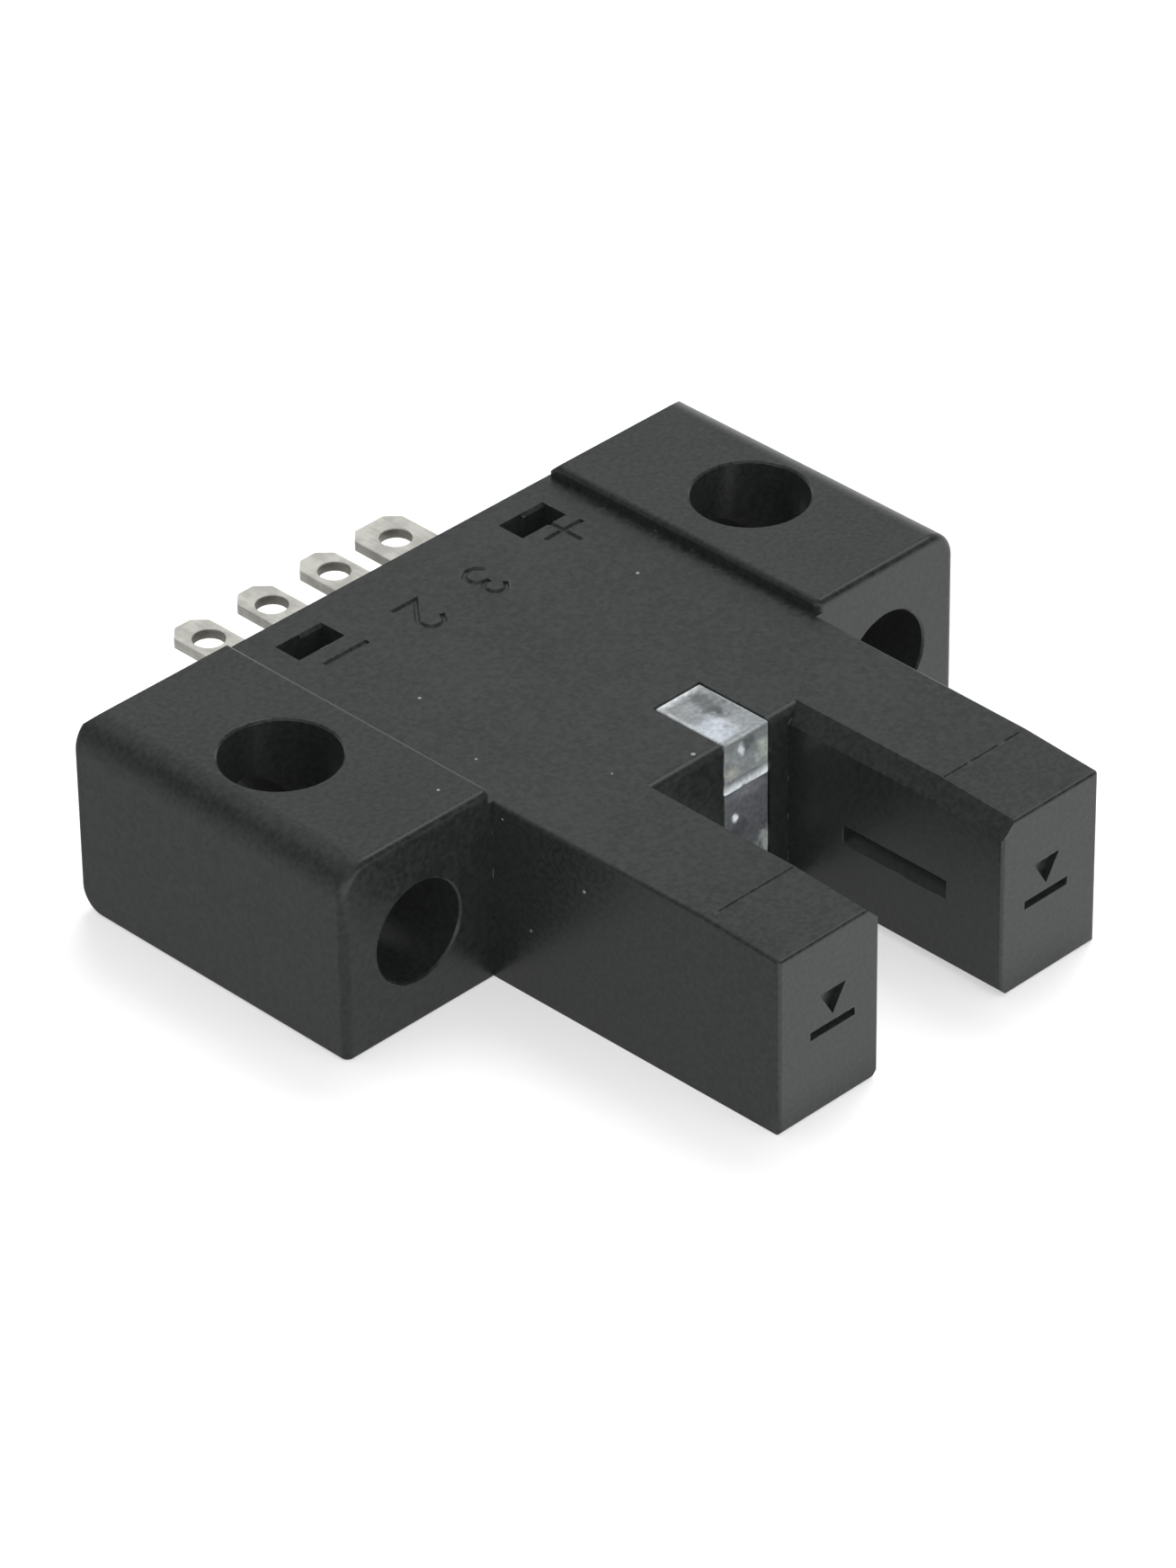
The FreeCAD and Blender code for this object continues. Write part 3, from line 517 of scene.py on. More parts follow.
def resin_clouds_and_painted_light():
    """Colour of the clear resin, darker below the band, with painted light: a pale glowing band,
    painted glints and edge highlights, and bright and dull places.
    """
    tree, given, out = new_group(
        "resin_clouds_and_painted_light",
        {
            "Upper Tone": ("colour", (0.3, 0.3, 0.3, 1.0)),
            "Lower Tone": ("colour", (0.1, 0.1, 0.1, 1.0)),
            "Band Tone": ("colour", (0.8, 0.8, 0.8, 1.0)),
            "Band Low": ("value", 0.004),
            "Band High": ("value", 0.0045),
            "Cloudiness": ("value", 2.0),
        },
        {"Color": "colour", "Painted Glow": "colour", "Height": "value"},
    )
    place = own_place(tree)
    height = axes(tree, place)["Z"]
    wisps = noise(tree, WISP_SCALE, WISP_DETAIL)
    ragged = from_middle(tree, wisps)
    above = calculate(tree, "GREATER_THAN", height, given["Band Low"])
    tone = blend_colours(tree, above, given["Lower Tone"], given["Upper Tone"])
    # The band is painted light: a pale tone with a painted glow.
    fading = remap(tree, height, given["Band Low"], given["Band High"], 1.0, 0.0)
    band = calculate(tree, "MULTIPLY", above, fading)
    tone = blend_colours(tree, band, tone, given["Band Tone"])
    glow = calculate(tree, "MULTIPLY", band, BAND_GLOW)
    # Each place paints its colour and its share of painted glow.
    for middle, reach, cloud, painted_glow_share in RESIN_CLOUDS_AND_GLINTS:
        offset = combine(tree, "SUBTRACT", place, [value * MM for value in middle])
        near = combine(tree, "MULTIPLY", offset, [1.0 / (value * MM) for value in reach])
        away = add(tree, "ShaderNodeVectorMath", {0: near}, operation="LENGTH").outputs["Value"]
        edge = calculate(tree, "MULTIPLY_ADD", ragged, given["Cloudiness"], away)
        inside = remap(tree, edge, *CLOUD_EDGE, 1.0, 0.0)
        tone = blend_colours(tree, inside, tone, opaque(cloud))
        glow = blend_values(tree, inside, glow, painted_glow_share)
    mottle = noise(tree, MOTTLE_SCALE, FINE_DETAIL)
    tone = scaled(tree, tone, remap(tree, mottle, *MOTTLE_NOISE, *MOTTLE_SHADES))
    send(tree, out, {"Color": tone, "Painted Glow": scaled(tree, tone, glow), "Height": wisps})
    return tree


GROUP_MAKERS = {
    maker.__name__: maker
    for maker in (
        moulded_grain, dust_specks, edge_nicks_and_highlights, rolled_tin,
        cut_face_painted_shade, plated_ends, glass_weave, resin_clouds_and_painted_light,
    )
}


def use_group(tree, name, inputs):
    """Places one of the shared effects in a material, building it the first time."""
    effect = bpy.data.node_groups.get(name) or GROUP_MAKERS[name]()
    return add(tree, "ShaderNodeGroup", inputs, node_tree=effect)


def empty_tree(owner):
    """The cleared node tree of a material or of the world."""
    owner.use_nodes = True
    owner.node_tree.nodes.clear()
    return owner.node_tree


def new_material(name, **shader_values):
    """A material with one Principled BSDF, its node tree and the shader."""
    material = bpy.data.materials.new(name)
    tree = empty_tree(material)
    shader = add(tree, "ShaderNodeBsdfPrincipled")
    for socket, value in shader_values.items():
        shader.inputs[socket.replace("_", " ")].default_value = value
    add(tree, "ShaderNodeOutputMaterial", {"Surface": shader.outputs["BSDF"]})
    return material, tree, shader


def feed_skin(tree, shader, skin):
    """Feeds an effect's colour and roughness to the shader."""
    send(tree, shader, {
        "Base Color": skin.outputs["Color"], "Roughness": skin.outputs["Roughness"],
    })


def bump(tree, shader, height, distance, strength=1.0):
    """Feeds a height to the shader's normal."""
    inputs = {"Height": height, "Distance": distance, "Strength": strength}
    send(tree, shader, {"Normal": add(tree, "ShaderNodeBump", inputs).outputs["Normal"]})


WHITE = (1.0, 1.0, 1.0, 1.0)
MOULDING_IOR = 1.58
MOULDING_FLOW_SCALE = 260.0
MOULDING_SPECKLE = 3.6


def moulded_plastic(name, tone, roughness, grain, depth, dust, nicks, veil=0.0):
    """Moulded plastic with grain, dust specks and nicked edges that are partly painted highlights.
    """
    # The veil is a painted glow: an even emission on the plastic.
    material, tree, shader = new_material(
        name, IOR=MOULDING_IOR, Emission_Color=WHITE, Emission_Strength=veil
    )
    skin = use_group(
        tree, "moulded_grain",
        {
            "Tone": opaque(tone), "Roughness": roughness, "Grain Scale": 1.0 / grain,
            "Flow Scale": MOULDING_FLOW_SCALE, "Speckle": MOULDING_SPECKLE,
        },
    )
    nicked_and_lit = use_group(
        tree, "edge_nicks_and_highlights",
        {"Color": skin.outputs["Color"], "Roughness": skin.outputs["Roughness"], "Reach": nicks},
    )
    dusty = use_group(
        tree, "dust_specks",
        {"Color": nicked_and_lit.outputs["Color"], "Roughness": nicked_and_lit.outputs["Roughness"], "Share": dust},
    )
    feed_skin(tree, shader, dusty)
    bump(tree, shader, skin.outputs["Height"], depth)
    return material


def black_moulding(name, settings, roughness):
    """The shell's black plastic, with one piece's own roughness."""
    return moulded_plastic(
        name, settings.tone, roughness, settings.grain, settings.grain_depth,
        settings.dust, settings.nick_reach, settings.veil,
    )


RESIN_IOR = 1.55
RESIN_RELIEF = 0.00001
RESIN_RELIEF_STRENGTH = 0.5


def clear_resin(name, settings, roughness, clearness):
    """Clear resin whose bright places glow by emission, a painted glow."""
    material, tree, shader = new_material(
        name, IOR=RESIN_IOR, Transmission_Weight=clearness, Roughness=roughness,
        Emission_Strength=settings.painted_glow,
    )
    resin = use_group(
        tree, "resin_clouds_and_painted_light",
        {
            "Upper Tone": opaque(settings.upper_tone), "Lower Tone": opaque(settings.lower_tone),
            "Band Tone": opaque(settings.band_tone), "Band Low": settings.band_low,
            "Band High": settings.band_high,
        },
    ).outputs
    # The resin's bright places get a painted glow by emission.
    send(tree, shader, {"Base Color": resin["Color"], "Emission Color": resin["Painted Glow"]})
    bump(tree, shader, resin["Height"], RESIN_RELIEF, RESIN_RELIEF_STRENGTH)
    return material


TERMINAL_LINE_SCALE = 9000.0
LEAD_LINE_SCALE = 14000.0
TIN_RELIEF = 0.000004
TIN_RELIEF_STRENGTH = 0.6


def tinned_metal(name, settings, line_scale):
    """Tin plated strip metal."""
    material, tree, shader = new_material(name, Metallic=settings.metallic)
    strip = use_group(
        tree, "rolled_tin",
        {"Tone": opaque(settings.tone), "Roughness": settings.roughness, "Line Scale": line_scale},
    ).outputs
    # Painted shade darkens the cut faces in the holes.
    cut = use_group(tree, "cut_face_painted_shade", {"Color": strip["Color"]}).outputs
    send(tree, shader, {"Base Color": cut["Color"], "Roughness": strip["Roughness"]})
    bump(tree, shader, strip["Height"], TIN_RELIEF, TIN_RELIEF_STRENGTH)
    return material


def paint(piece, *materials):
    """Puts these materials in the piece's slots."""
    piece.data.materials.clear()
    for material in materials:
        piece.data.materials.append(material)


def place_object(name, data):
    """A new object in the scene."""
    placed = bpy.data.objects.new(name, data)
    bpy.context.scene.collection.objects.link(placed)
    return placed


WELD_DISTANCE = 0.0005 * MM
SHORTEST_EDGE = 0.0002 * MM
SHORTEST_KEPT_NORMAL = 0.5


def welded_copy(node, name):
    """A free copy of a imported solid's mesh, welded, that keeps each corner's surface normal."""
    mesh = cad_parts[node].data.copy()
    mesh.name = name
    kept = mesh.attributes.new(SURFACE_NORMAL, "FLOAT_VECTOR", "CORNER")
    for corner, value in zip(mesh.corner_normals, kept.data):
        value.vector = corner.vector
    work = bmesh.new()
    work.from_mesh(mesh)
    bmesh.ops.remove_doubles(work, verts=work.verts, dist=WELD_DISTANCE)
    bmesh.ops.dissolve_degenerate(work, edges=work.edges, dist=SHORTEST_EDGE)
    for face in work.faces:
        face.smooth = True
    for edge in work.edges:
        edge.smooth = True
    work.to_mesh(mesh)
    work.free()
    return place_object(name, mesh)


def restore_normals(piece):
    """Gives each corner its kept surface normal, and the newly cut faces their own."""
    mesh = piece.data
    kept = mesh.attributes[SURFACE_NORMAL]
    normals = [(0.0, 0.0, 0.0)] * len(mesh.loops)
    for face in mesh.polygons:
        for loop in face.loop_indices:
            normal = kept.data[loop].vector
            is_kept = normal.length > SHORTEST_KEPT_NORMAL
            normals[loop] = normal.normalized() if is_kept else face.normal
    for face in mesh.polygons:
        face.use_smooth = True
    mesh.attributes.remove(kept)
    mesh.normals_split_custom_set(normals)


def apply_modifiers(piece):
    """Replaces the piece's mesh by the result of its modifiers."""
    bpy.context.view_layer.update()
    evaluated = piece.evaluated_get(bpy.context.evaluated_depsgraph_get())
    shaped = bpy.data.meshes.new_from_object(evaluated)
    old = piece.data
    piece.modifiers.clear()
    piece.data = shaped
    bpy.data.meshes.remove(old)
    shaped.name = piece.name


def crisp_normals(piece, crease):
    """Smooth rounds, flat faces and sharp edges above the crease angle."""
    piece.data.set_sharp_from_angle(angle=crease)
    weighting = piece.modifiers.new("flat_faces", "WEIGHTED_NORMAL")
    weighting.keep_sharp = True


# Shares of the numerals' height, and where their bowls start and end in degrees.
TWO_BOWL = 0.27
TWO_BOWL_TURN = (165.0, -35.0)
TWO_FOOT = 1.1
THREE_UPPER_BOWL = 0.235
THREE_UPPER_TURN = (155.0, -90.0)
THREE_LOWER_TURN = (90.0, -150.0)
ARC_STEPS = 10


def arc(centre, radius, start, end):
    """Points on an arc, angles in degrees."""
    x, y = centre
    steps = range(ARC_STEPS + 1)
    turns = [math.radians(start + (end - start) * step / ARC_STEPS) for step in steps]
    return [(x + radius * math.cos(turn), y + radius * math.sin(turn)) for turn in turns]


def numeral_two(height):
    """Centre line of a plain 2, standing on the origin, its middle over it."""
    radius = TWO_BOWL * height
    bowl = arc((0.0, height - radius), radius, *TWO_BOWL_TURN)
    return [bowl + [(-radius, 0.0), (TWO_FOOT * radius, 0.0)]]


def numeral_three(height):
    """Centre lines of a plain 3, standing on the origin, its middle over it."""
    upper = THREE_UPPER_BOWL * height
    lower = 0.5 * height - upper
    return [
        arc((0.0, height - upper), upper, *THREE_UPPER_TURN),
        arc((0.0, lower), lower, *THREE_LOWER_TURN),
    ]


STROKE_LIFT = 0.4
SHARPEST_MITRE = 0.5


def sweep_stroke(work, line, to_face, width, depth, floor_share):
    """A closed bar along a line drawn on a face, to be cut out of it, narrower at its floor."""
    lift = STROKE_LIFT * depth
    floor = 0.5 * floor_share
    rim = 0.5 + (0.5 - floor) * lift / depth
    points = [Vector(point) for point in line]
    first = (points[0] - points[1]).normalized() * width / 2
    last = (points[-1] - points[-2]).normalized() * width / 2
    points[0] += first
    points[-1] += last
    sections = []
    for index, point in enumerate(points):
        before = (point - points[index - 1]).normalized() if index else None
        after = (points[index + 1] - point).normalized() if index + 1 < len(points) else None
        along = ((before or after) + (after or before)).normalized()
        side = Vector((-along.y, along.x))
        mitre = 1.0 / max(SHARPEST_MITRE, along.dot(after or before))
        section = []
        for across, level in ((rim, lift), (floor, -depth), (-floor, -depth), (-rim, lift)):
            flat = point + side * (across * width * mitre)
            section.append(work.verts.new(to_face @ Vector((flat.x, flat.y, level))))
        sections.append(section)
    for one, two in zip(sections, sections[1:]):
        for index in range(4):
            work.faces.new((one[index], one[index - 1], two[index - 1], two[index]))
    work.faces.new(sections[0])
    work.faces.new(reversed(sections[-1]))


def prism(work, outline, to_face, depth, lift):
    """A closed prism over an outline drawn on a face, to be cut out of it."""
    low = [work.verts.new(to_face @ Vector((x, y, -depth))) for x, y in outline]
    high = [work.verts.new(to_face @ Vector((x, y, lift))) for x, y in outline]
    work.faces.new(reversed(low))
    work.faces.new(high)
    for index in range(len(outline)):
        work.faces.new((low[index - 1], low[index], high[index], high[index - 1]))


def cutter_from(work, name):
    """An object made of the cutting shapes, with its faces turned outward."""
    bmesh.ops.recalc_face_normals(work, faces=work.faces)
    mesh = bpy.data.meshes.new(name)
    work.to_mesh(mesh)
    work.free()
    return place_object(name, mesh)


TOP_MARK_ROW = 2.02 * MM
TOP_MARK_HEIGHT = 1.46 * MM
TOP_MARK_FLOOR = 0.35
MINUS_BAR = ((-4.95 * MM, 2.9 * MM), (-3.43 * MM, 2.9 * MM))
PLUS_CENTRE = (4.75 * MM, 3.04 * MM)
PLUS_REACH = (0.68 * MM, 0.64 * MM)
NUMERAL_TWO_X = -1.27 * MM
NUMERAL_THREE_X = 1.27 * MM
TIP_MARK_CENTRES = (-4.35 * MM, 4.35 * MM)
BEAM_HEIGHT = 2.72 * MM
AXIS_STROKE = 0.27 * MM
AXIS_DEPTH = 0.24 * MM
AXIS_FLOOR = 0.75
AXIS_POINTER = [(-0.52 * MM, 1.22 * MM), (0.0, 0.36 * MM), (0.52 * MM, 1.22 * MM)]
POINTER_LIFT = 0.05 * MM
RAMP_LINE_Y = -13.75 * MM
RAMP_LINE = (3.1 * MM, 6.1 * MM)
RAMP_LINE_WIDTH = 0.07 * MM
RAMP_LINE_DEPTH = 0.03 * MM
RAMP_LINE_FLOOR = 0.2
FEWEST_SHELL_POINTS = 100


def top_marks():
    """Lines of the marks on the shell's top, read from the terminal side."""
    row = TOP_MARK_ROW + TOP_MARK_HEIGHT
    turned = []
    for lines, x in (
        (numeral_two(TOP_MARK_HEIGHT), NUMERAL_TWO_X),
        (numeral_three(TOP_MARK_HEIGHT), NUMERAL_THREE_X),
    ):
        turned += [[(x - px, row - py) for px, py in line] for line in lines]
    x, y = PLUS_CENTRE
    across, along = PLUS_REACH
    return turned + [
        list(MINUS_BAR),
        [(x - across, y), (x + across, y)],
        [(x, y - along), (x, y + along)],
    ]


class FORKSENSOR_OT_mould_case(Operator):
    """Shell with its engraved marks, in place of the plain imported shell"""

    bl_idname = "forksensor.mould_case"
    bl_label = "Mould Case"

    def execute(self, context):
        settings = context.scene.fork_sensor.moulding
        shell = welded_copy("case", "case_moulding")
        work = bmesh.new()
        top = Matrix.Translation((0.0, 0.0, TOP_FACE))
        for line in top_marks():
            sweep_stroke(work, line, top, settings.stroke, settings.engraving, TOP_MARK_FLOOR)
        for side in (1.0, -1.0):
            ramp = [(side * RAMP_LINE[0], RAMP_LINE_Y), (side * RAMP_LINE[1], RAMP_LINE_Y)]
            sweep_stroke(work, ramp, top, RAMP_LINE_WIDTH, RAMP_LINE_DEPTH, RAMP_LINE_FLOOR)
        half_bar = settings.axis_bar / 2
        bar = [(-half_bar, 0.0), (half_bar, 0.0)]
        upright = Matrix.Rotation(math.pi / 2, 4, "X")
        for x in TIP_MARK_CENTRES:
            face = Matrix.Translation((x, TIP_FACE, BEAM_HEIGHT)) @ upright
            sweep_stroke(work, bar, face, AXIS_STROKE, AXIS_DEPTH, AXIS_FLOOR)
            prism(work, AXIS_POINTER, face, AXIS_DEPTH, POINTER_LIFT)
        cutter = cutter_from(work, "marks")
        engrave = shell.modifiers.new("engrave", "BOOLEAN")
        engrave.object = cutter
        engrave.solver = "EXACT"
        engrave.use_self = True
        apply_modifiers(shell)
        bpy.data.objects.remove(cutter)
        if len(shell.data.vertices) < FEWEST_SHELL_POINTS:
            raise RuntimeError("the engraving left no shell")
        restore_normals(shell)
        paint(shell, black_moulding("moulded_black", settings, settings.roughness))
        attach(shell, "root")
        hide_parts("case")
        return {"FINISHED"}


# The other pieces of black plastic and their roughness.
BLACK_PARTS = (("base_cover", 0.46), ("terminal_holder", 0.5))


class FORKSENSOR_OT_finish_black_parts(Operator):
    """Base cover and terminal holder in the shell's plastic"""

    bl_idname = "forksensor.finish_black_parts"
    bl_label = "Finish Cover and Holder"

    def execute(self, context):
        settings = context.scene.fork_sensor.moulding
        for node, roughness in BLACK_PARTS:
            paint(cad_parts[node], black_moulding(node + "_black", settings, roughness))
        return {"FINISHED"}


FLAT_ANGLE = math.radians(1.0)
BROKEN_ANGLE = math.radians(60.0)
CREASE_ANGLE = math.radians(50.0)
BROKEN_SEGMENTS = 2
ROUND_PROFILE = 0.5
FROSTED_RISE = 0.3
POLISHED_CLEARNESS = 0.25
FROSTED_CLEARNESS = 0.15


class FORKSENSOR_OT_cast_light_guide(Operator):
    """Clear light guide with a frosted top and broken edges"""

    bl_idname = "forksensor.cast_light_guide"
    bl_label = "Cast Light Guide"

    def execute(self, context):
        settings = context.scene.fork_sensor.guide
        guide = welded_copy("light_guide", "light_guide_moulding")
        work = bmesh.new()
        work.from_mesh(guide.data)
        bmesh.ops.dissolve_limit(
            work, angle_limit=FLAT_ANGLE, verts=work.verts, edges=work.edges
        )
        sharp = [edge for edge in work.edges if edge.calc_face_angle(0.0) > BROKEN_ANGLE]
        bmesh.ops.bevel(
            work, geom=sharp, offset=settings.edge, segments=BROKEN_SEGMENTS,
            affect="EDGES", profile=ROUND_PROFILE,
        )
        for face in work.faces:
            face.material_index = 1 if face.normal.z > FROSTED_RISE else 0
            face.smooth = True
        work.to_mesh(guide.data)
        work.free()
        crisp_normals(guide, CREASE_ANGLE)
        clear = clear_resin("clear_guide", settings, settings.clear_roughness, POLISHED_CLEARNESS)
        frosted = clear_resin(
            "frosted_guide", settings, settings.frosted_roughness, FROSTED_CLEARNESS
        )
        paint(guide, clear, frosted)
        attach(guide, "root")
        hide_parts("light_guide")
        return {"FINISHED"}


WINDOW_IOR = 1.52
WINDOW_COAT = 0.25
WINDOW_SKIN = {
    "Tone": opaque((0.022, 0.013, 0.015)), "Roughness": 0.16,
    "Grain Scale": 5000.0, "Flow Scale": 700.0, "Speckle": 0.2,
}


class FORKSENSOR_OT_fit_windows(Operator):
    """Dark windows over the light source and the receiver"""

    bl_idname = "forksensor.fit_windows"
    bl_label = "Fit Windows"

    def execute(self, context):
        material, tree, shader = new_material(
            "infrared_window", IOR=WINDOW_IOR, Coat_Weight=WINDOW_COAT
        )
        feed_skin(tree, shader, use_group(tree, "moulded_grain", WINDOW_SKIN))
        for node in ("emitter_window", "receiver_window"):
            paint(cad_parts[node], material)
        return {"FINISHED"}


STAMPED_SEGMENTS = 2
STAMPED_ANGLE = math.radians(40.0)


class FORKSENSOR_OT_tin_terminals(Operator):
    """Tin plating on the solder terminals and the leads"""

    bl_idname = "forksensor.tin_terminals"
    bl_label = "Tin Terminals"

    def execute(self, context):
        settings = context.scene.fork_sensor.metal
        terminals = tinned_metal("tinned_terminal", settings, TERMINAL_LINE_SCALE)
        for node in ("terminal_minus", "terminal_output", "terminal_light", "terminal_plus"):
            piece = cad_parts[node]
            paint(piece, terminals)
            weld = piece.modifiers.new("welded_corners", "WELD")
            weld.merge_threshold = WELD_DISTANCE
            rounding = piece.modifiers.new("stamped_edges", "BEVEL")
            rounding.width = settings.edge
            rounding.segments = STAMPED_SEGMENTS
            rounding.limit_method = "ANGLE"
            rounding.angle_limit = STAMPED_ANGLE
            rounding.harden_normals = True
        leads = tinned_metal("tinned_lead", settings, LEAD_LINE_SCALE)
        for node in ("emitter_leads", "receiver_leads"):
            paint(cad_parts[node], leads)
        return {"FINISHED"}


BOARD_TONE = (0.03, 0.17, 0.08)
BOARD_ROUGHNESS = 0.32
WEAVE_RELIEF = 0.00001
WEAVE_RELIEF_STRENGTH = 0.5

# Plastics of the packages: colour, roughness and the nodes made of them.
PACKAGE_PLASTICS = {
    "component_mould": (
        (0.028, 0.028, 0.03), 0.62, ("amplifier_ic", "output_transistor", "protection_diode")
    ),
    "optic_resin": ((0.03, 0.02, 0.024), 0.12, ("emitter_led", "receiver_chip")),
    "indicator_lens": ((0.78, 0.75, 0.68), 0.3, ("indicator_led",)),
}
PACKAGE_SKIN = {"grain": 0.00006, "depth": 0.000003, "dust": 0.01, "nicks": 0.00003}

# Chip parts with plated ends: colour of the body and the axis from end to end.
CHIP_PARTS = {
    "resistor_led": ((0.02, 0.02, 0.022), (0.0, 1.0, 0.0)),
    "resistor_pull_up": ((0.02, 0.02, 0.022), (0.0, 1.0, 0.0)),
    "resistor_base": ((0.02, 0.02, 0.022), (1.0, 0.0, 0.0)),
    "supply_capacitor": ((0.42, 0.32, 0.21), (1.0, 0.0, 0.0)),
}
GLAZE_ROUGHNESS = 0.35


class FORKSENSOR_OT_dress_board(Operator):
    """Finishes of the board, its chips and the optical packages"""

    bl_idname = "forksensor.dress_board"
    bl_label = "Dress Board"

    def execute(self, context):
        metal = context.scene.fork_sensor.metal
        laminate, tree, shader = new_material("board_laminate", Roughness=BOARD_ROUGHNESS)
        weave = use_group(tree, "glass_weave", {"Tone": opaque(BOARD_TONE)}).outputs
        send(tree, shader, {"Base Color": weave["Color"]})
        bump(tree, shader, weave["Height"], WEAVE_RELIEF, WEAVE_RELIEF_STRENGTH)
        paint(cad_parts["circuit_board"], laminate)
        for name, (tone, roughness, nodes) in PACKAGE_PLASTICS.items():
            material = moulded_plastic(name, tone, roughness, **PACKAGE_SKIN)
            for node in nodes:
                paint(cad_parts[node], material)
        for node, (tone, axis) in CHIP_PARTS.items():
            material, tree, shader = new_material(node + "_glaze", Roughness=GLAZE_ROUGHNESS)
            ends = use_group(tree, "plated_ends", {"Axis": axis}).outputs["Mask"]
            skin = use_group(
                tree, "moulded_grain", {"Tone": opaque(tone), "Roughness": GLAZE_ROUGHNESS}
            )
            plated = blend_colours(tree, ends, skin.outputs["Color"], opaque(metal.tone))
            send(tree, shader, {"Base Color": plated, "Metallic": ends})
            paint(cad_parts[node], material)
        return {"FINISHED"}


FLOOR_HALF_WIDTH = 3.0
FLOOR_GAP = 0.02 * MM
CLIP_NEAR = 0.01
CLIP_FAR = 20.0

KEY_DIRECTION = (0.5, 0.28, 0.85)
KEY_SPREAD = 34.0
FILL_DIRECTION = (0.15, -0.9, 0.4)
FILL_SPREAD = 40.0
LAMP_DISTANCE = 0.3

# How bright the surround is to the camera, and how much the floor glows in each kind of view.
CAMERA_WHITE = 1.0
FLOOR_GLOW = 0.17
CAMERA_GLOW = 0.35

# The floor in reflections is a painted glow: dim beside the sensor, where it stands in for shade,
# and bright right of it and in front of it.
MIRRORED_DIM = 0.44
MIRRORED_BRIGHT = 0.99
BRIGHT_RIGHT_OF = (2.5 * MM, 8.0 * MM)
BRIGHT_IN_FRONT_OF = (-15.5 * MM, -18.0 * MM)

# Heights between which the light changes, and its strength at both.
FALLING_LIGHT = (0.0, 0.8, 0.7, 1.25)
MIRRORED_SKY = (0.05, 0.55, 1.0, 0.43)

# Darker places in reflections: direction, where the shade starts and is full, light left in it.
MIRRORED_SHADES = (
    ((0.58, -0.54, 0.57), 0.62, 0.93, 0.12),
    ((-0.77, 0.6, 0.2), 0.6, 0.95, 0.3),
)
SOFTBOX_DIRECTION = (0.58, -0.1, 0.8)
SOFTBOX_EDGE = (0.955, 0.99)
SOFTBOX = 1.7


def sun(name, direction, strength, spread):
    """A far soft lamp that shines from the given direction and isn't mirrored in the surfaces."""
    lamp = bpy.data.lights.new(name, "SUN")
    lamp.energy = strength
    lamp.angle = math.radians(spread)
    placed = place_object(name, lamp)
    placed.rotation_mode = "QUATERNION"
    placed.rotation_quaternion = Vector(direction).to_track_quat("Z", "Y")
    placed.location = Vector(direction) * LAMP_DISTANCE
    placed.visible_glossy = False


def seen_directly(tree):
    """1 for camera, glossy and transmission rays, and 0 for the rays that carry light."""
    rays = add(tree, "ShaderNodeLightPath").outputs
    return calculate(
        tree, "MAXIMUM", calculate(tree, "MAXIMUM", rays["Is Camera Ray"], rays["Is Glossy Ray"]),
        rays["Is Transmission Ray"],
    )


def studio_world(context, ambient):
    """Even light from all round, white to the camera and softly shaded in reflections."""
    world = bpy.data.worlds.new("studio")
    tree = empty_tree(world)
    rays = add(tree, "ShaderNodeLightPath").outputs
    direction = add(tree, "ShaderNodeTexCoord").outputs["Generated"]
    height = axes(tree, direction)["Z"]
    mirrored = remap(tree, height, *MIRRORED_SKY)
    for dark, start, full, left in MIRRORED_SHADES:
        toward_dark = dot(tree, direction, Vector(dark).normalized())
        shade = remap(tree, toward_dark, start, full, 1.0, left)
        mirrored = calculate(tree, "MULTIPLY", mirrored, shade)
    toward_box = dot(tree, direction, Vector(SOFTBOX_DIRECTION).normalized())
    box = remap(tree, toward_box, *SOFTBOX_EDGE, 0.0, SOFTBOX)
    mirrored = calculate(tree, "ADD", mirrored, box)
    seen = blend_values(tree, rays["Is Camera Ray"], mirrored, CAMERA_WHITE)
    falling = calculate(tree, "MULTIPLY", remap(tree, height, *FALLING_LIGHT), ambient)
    strength = blend_values(tree, seen_directly(tree), falling, seen)
    background = add(tree, "ShaderNodeBackground", {"Color": WHITE, "Strength": strength})
    add(tree, "ShaderNodeOutputWorld", {"Surface": background.outputs["Background"]})
    context.scene.world = world


def studio_floor(tone):
    """Wide pale floor that keeps the sensor's shadow, and that reflections see as a painted glow,
    dimmer beside the sensor.
    """
    mesh = bpy.data.meshes.new("floor")
    half = FLOOR_HALF_WIDTH
    signs = ((-1, -1), (1, -1), (1, 1), (-1, 1))
    mesh.from_pydata([(x * half, y * half, -FLOOR_GAP) for x, y in signs], [], [(0, 1, 2, 3)])
    floor = place_object("floor", mesh)
    material = bpy.data.materials.new("pale_floor")
    tree = empty_tree(material)
    paper = add(tree, "ShaderNodeBsdfDiffuse", {"Color": opaque(tone)})
    rays = add(tree, "ShaderNodeLightPath").outputs
    through = calculate(tree, "MULTIPLY", seen_directly(tree), FLOOR_GLOW)
    strength = calculate(tree, "MULTIPLY_ADD", rays["Is Camera Ray"], CAMERA_GLOW, through)
    glow = add(tree, "ShaderNodeEmission", {"Strength": strength})
    both = add(tree, "ShaderNodeAddShader", {0: paper.outputs["BSDF"], 1: glow.outputs["Emission"]})
    # In reflections the floor is an emission, dimmed beside the sensor as painted shade.
    spot = axes(tree, own_place(tree))
    right = remap(tree, spot["X"], *BRIGHT_RIGHT_OF, 0.0, 1.0)
    front = remap(tree, spot["Y"], *BRIGHT_IN_FRONT_OF, 0.0, 1.0)
    bright = calculate(tree, "MAXIMUM", right, front)
    mirrored = blend_values(tree, bright, MIRRORED_DIM, MIRRORED_BRIGHT)
    painted_mirror_glow = add(tree, "ShaderNodeEmission", {"Strength": mirrored})
    surface = add(
        tree, "ShaderNodeMixShader",
        {0: rays["Is Glossy Ray"], 1: both.outputs["Shader"], 2: painted_mirror_glow.outputs["Emission"]},
    )
    add(tree, "ShaderNodeOutputMaterial", {"Surface": surface.outputs["Shader"]})
    mesh.materials.append(material)


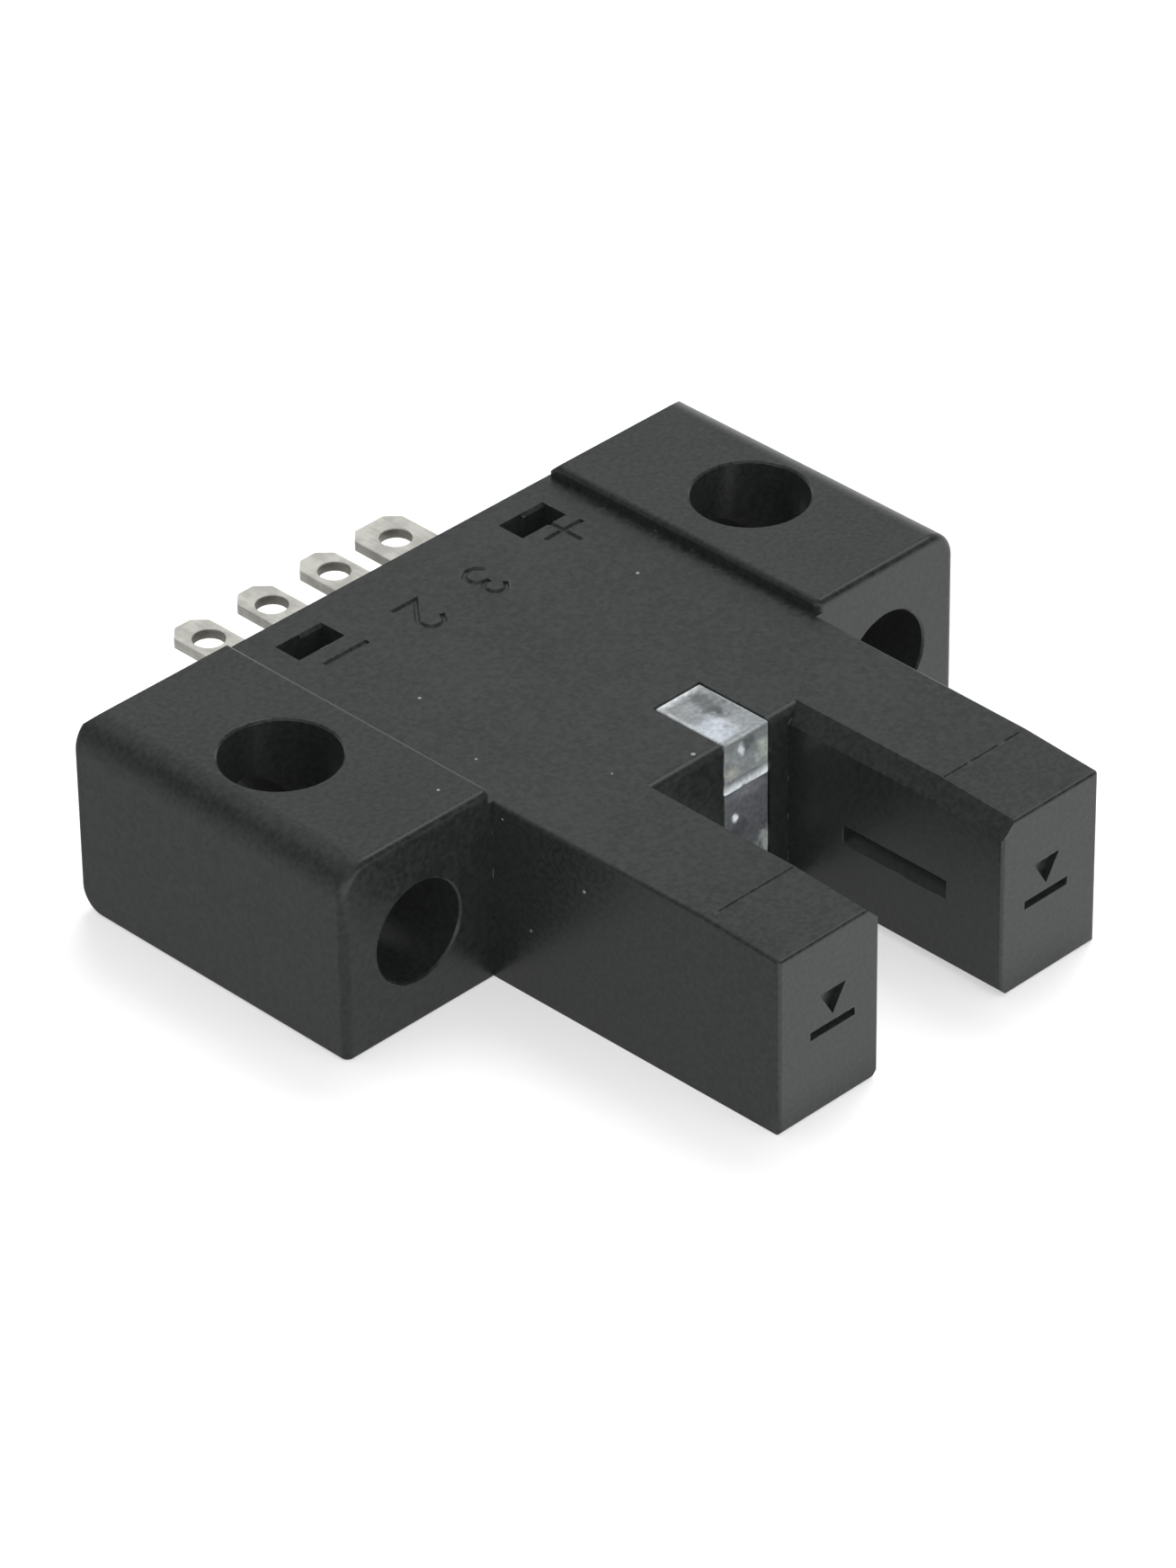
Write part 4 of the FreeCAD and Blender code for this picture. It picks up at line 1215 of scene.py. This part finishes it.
def place_camera(context, settings):
    """Camera at the photograph's angle, with its middle on the aim."""
    turn, tilt, roll = settings.azimuth, settings.elevation, settings.roll
    back = Vector((
        math.sin(turn) * math.cos(tilt), -math.cos(turn) * math.cos(tilt), math.sin(tilt),
    ))
    level = Vector((math.cos(turn), math.sin(turn), 0.0))
    upright = back.cross(level)
    right = level * math.cos(roll) + upright * math.sin(roll)
    up = upright * math.cos(roll) - level * math.sin(roll)
    data = bpy.data.cameras.new("camera")
    data.sensor_width = SENSOR_WIDTH
    data.lens = settings.focal_pixels * SENSOR_WIDTH / PHOTO_LONG_SIDE
    data.clip_start = CLIP_NEAR
    data.clip_end = CLIP_FAR
    camera = place_object("camera", data)
    place = Matrix((right, up, back)).transposed().to_4x4()
    place.translation = Vector(settings.aim) + back * settings.distance
    camera.matrix_world = place
    context.scene.camera = camera


class FORKSENSOR_OT_set_stage(Operator):
    """Floor, soft light, surround and camera"""

    bl_idname = "forksensor.set_stage"
    bl_label = "Set Stage"

    def execute(self, context):
        settings = context.scene.fork_sensor.stage
        place_camera(context, settings)
        studio_floor(settings.floor_tone)
        studio_world(context, settings.ambient)
        sun("key_lamp", KEY_DIRECTION, settings.key, KEY_SPREAD)
        sun("fill_lamp", FILL_DIRECTION, settings.fill, FILL_SPREAD)
        context.scene.view_settings.view_transform = "Standard"
        return {"FINISHED"}


OPERATORS = (
    FORKSENSOR_OT_set_stage,
    FORKSENSOR_OT_mould_case,
    FORKSENSOR_OT_finish_black_parts,
    FORKSENSOR_OT_cast_light_guide,
    FORKSENSOR_OT_fit_windows,
    FORKSENSOR_OT_tin_terminals,
    FORKSENSOR_OT_dress_board,
)


class FORKSENSOR_PT_looks(Panel):
    """Steps that dress the sensor"""

    bl_label = "Fork Sensor"
    bl_idname = "FORKSENSOR_PT_looks"
    bl_space_type = "VIEW_3D"
    bl_region_type = "UI"
    bl_category = "Fork Sensor"

    def draw(self, context):
        settings = context.scene.fork_sensor
        for group in (settings.moulding, settings.guide, settings.metal, settings.stage):
            box = self.layout.box()
            for name in group.__annotations__:
                box.prop(group, name)
        for operator in OPERATORS:
            self.layout.operator(operator.bl_idname)


CLASSES = (
    MouldingSettings, GuideSettings, MetalSettings, StageSettings, ForkSensorSettings,
    *OPERATORS, FORKSENSOR_PT_looks,
)


def register():
    for kind in CLASSES:
        bpy.utils.register_class(kind)
    bpy.types.Scene.fork_sensor = PointerProperty(type=ForkSensorSettings)


def unregister():
    del bpy.types.Scene.fork_sensor
    for kind in reversed(CLASSES):
        bpy.utils.unregister_class(kind)


def main():
    """Registers the add-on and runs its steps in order."""
    register()
    for operator in OPERATORS:
        family, action = operator.bl_idname.split(".")
        getattr(getattr(bpy.ops, family), action)()


if __name__ == "__main__":
    main()
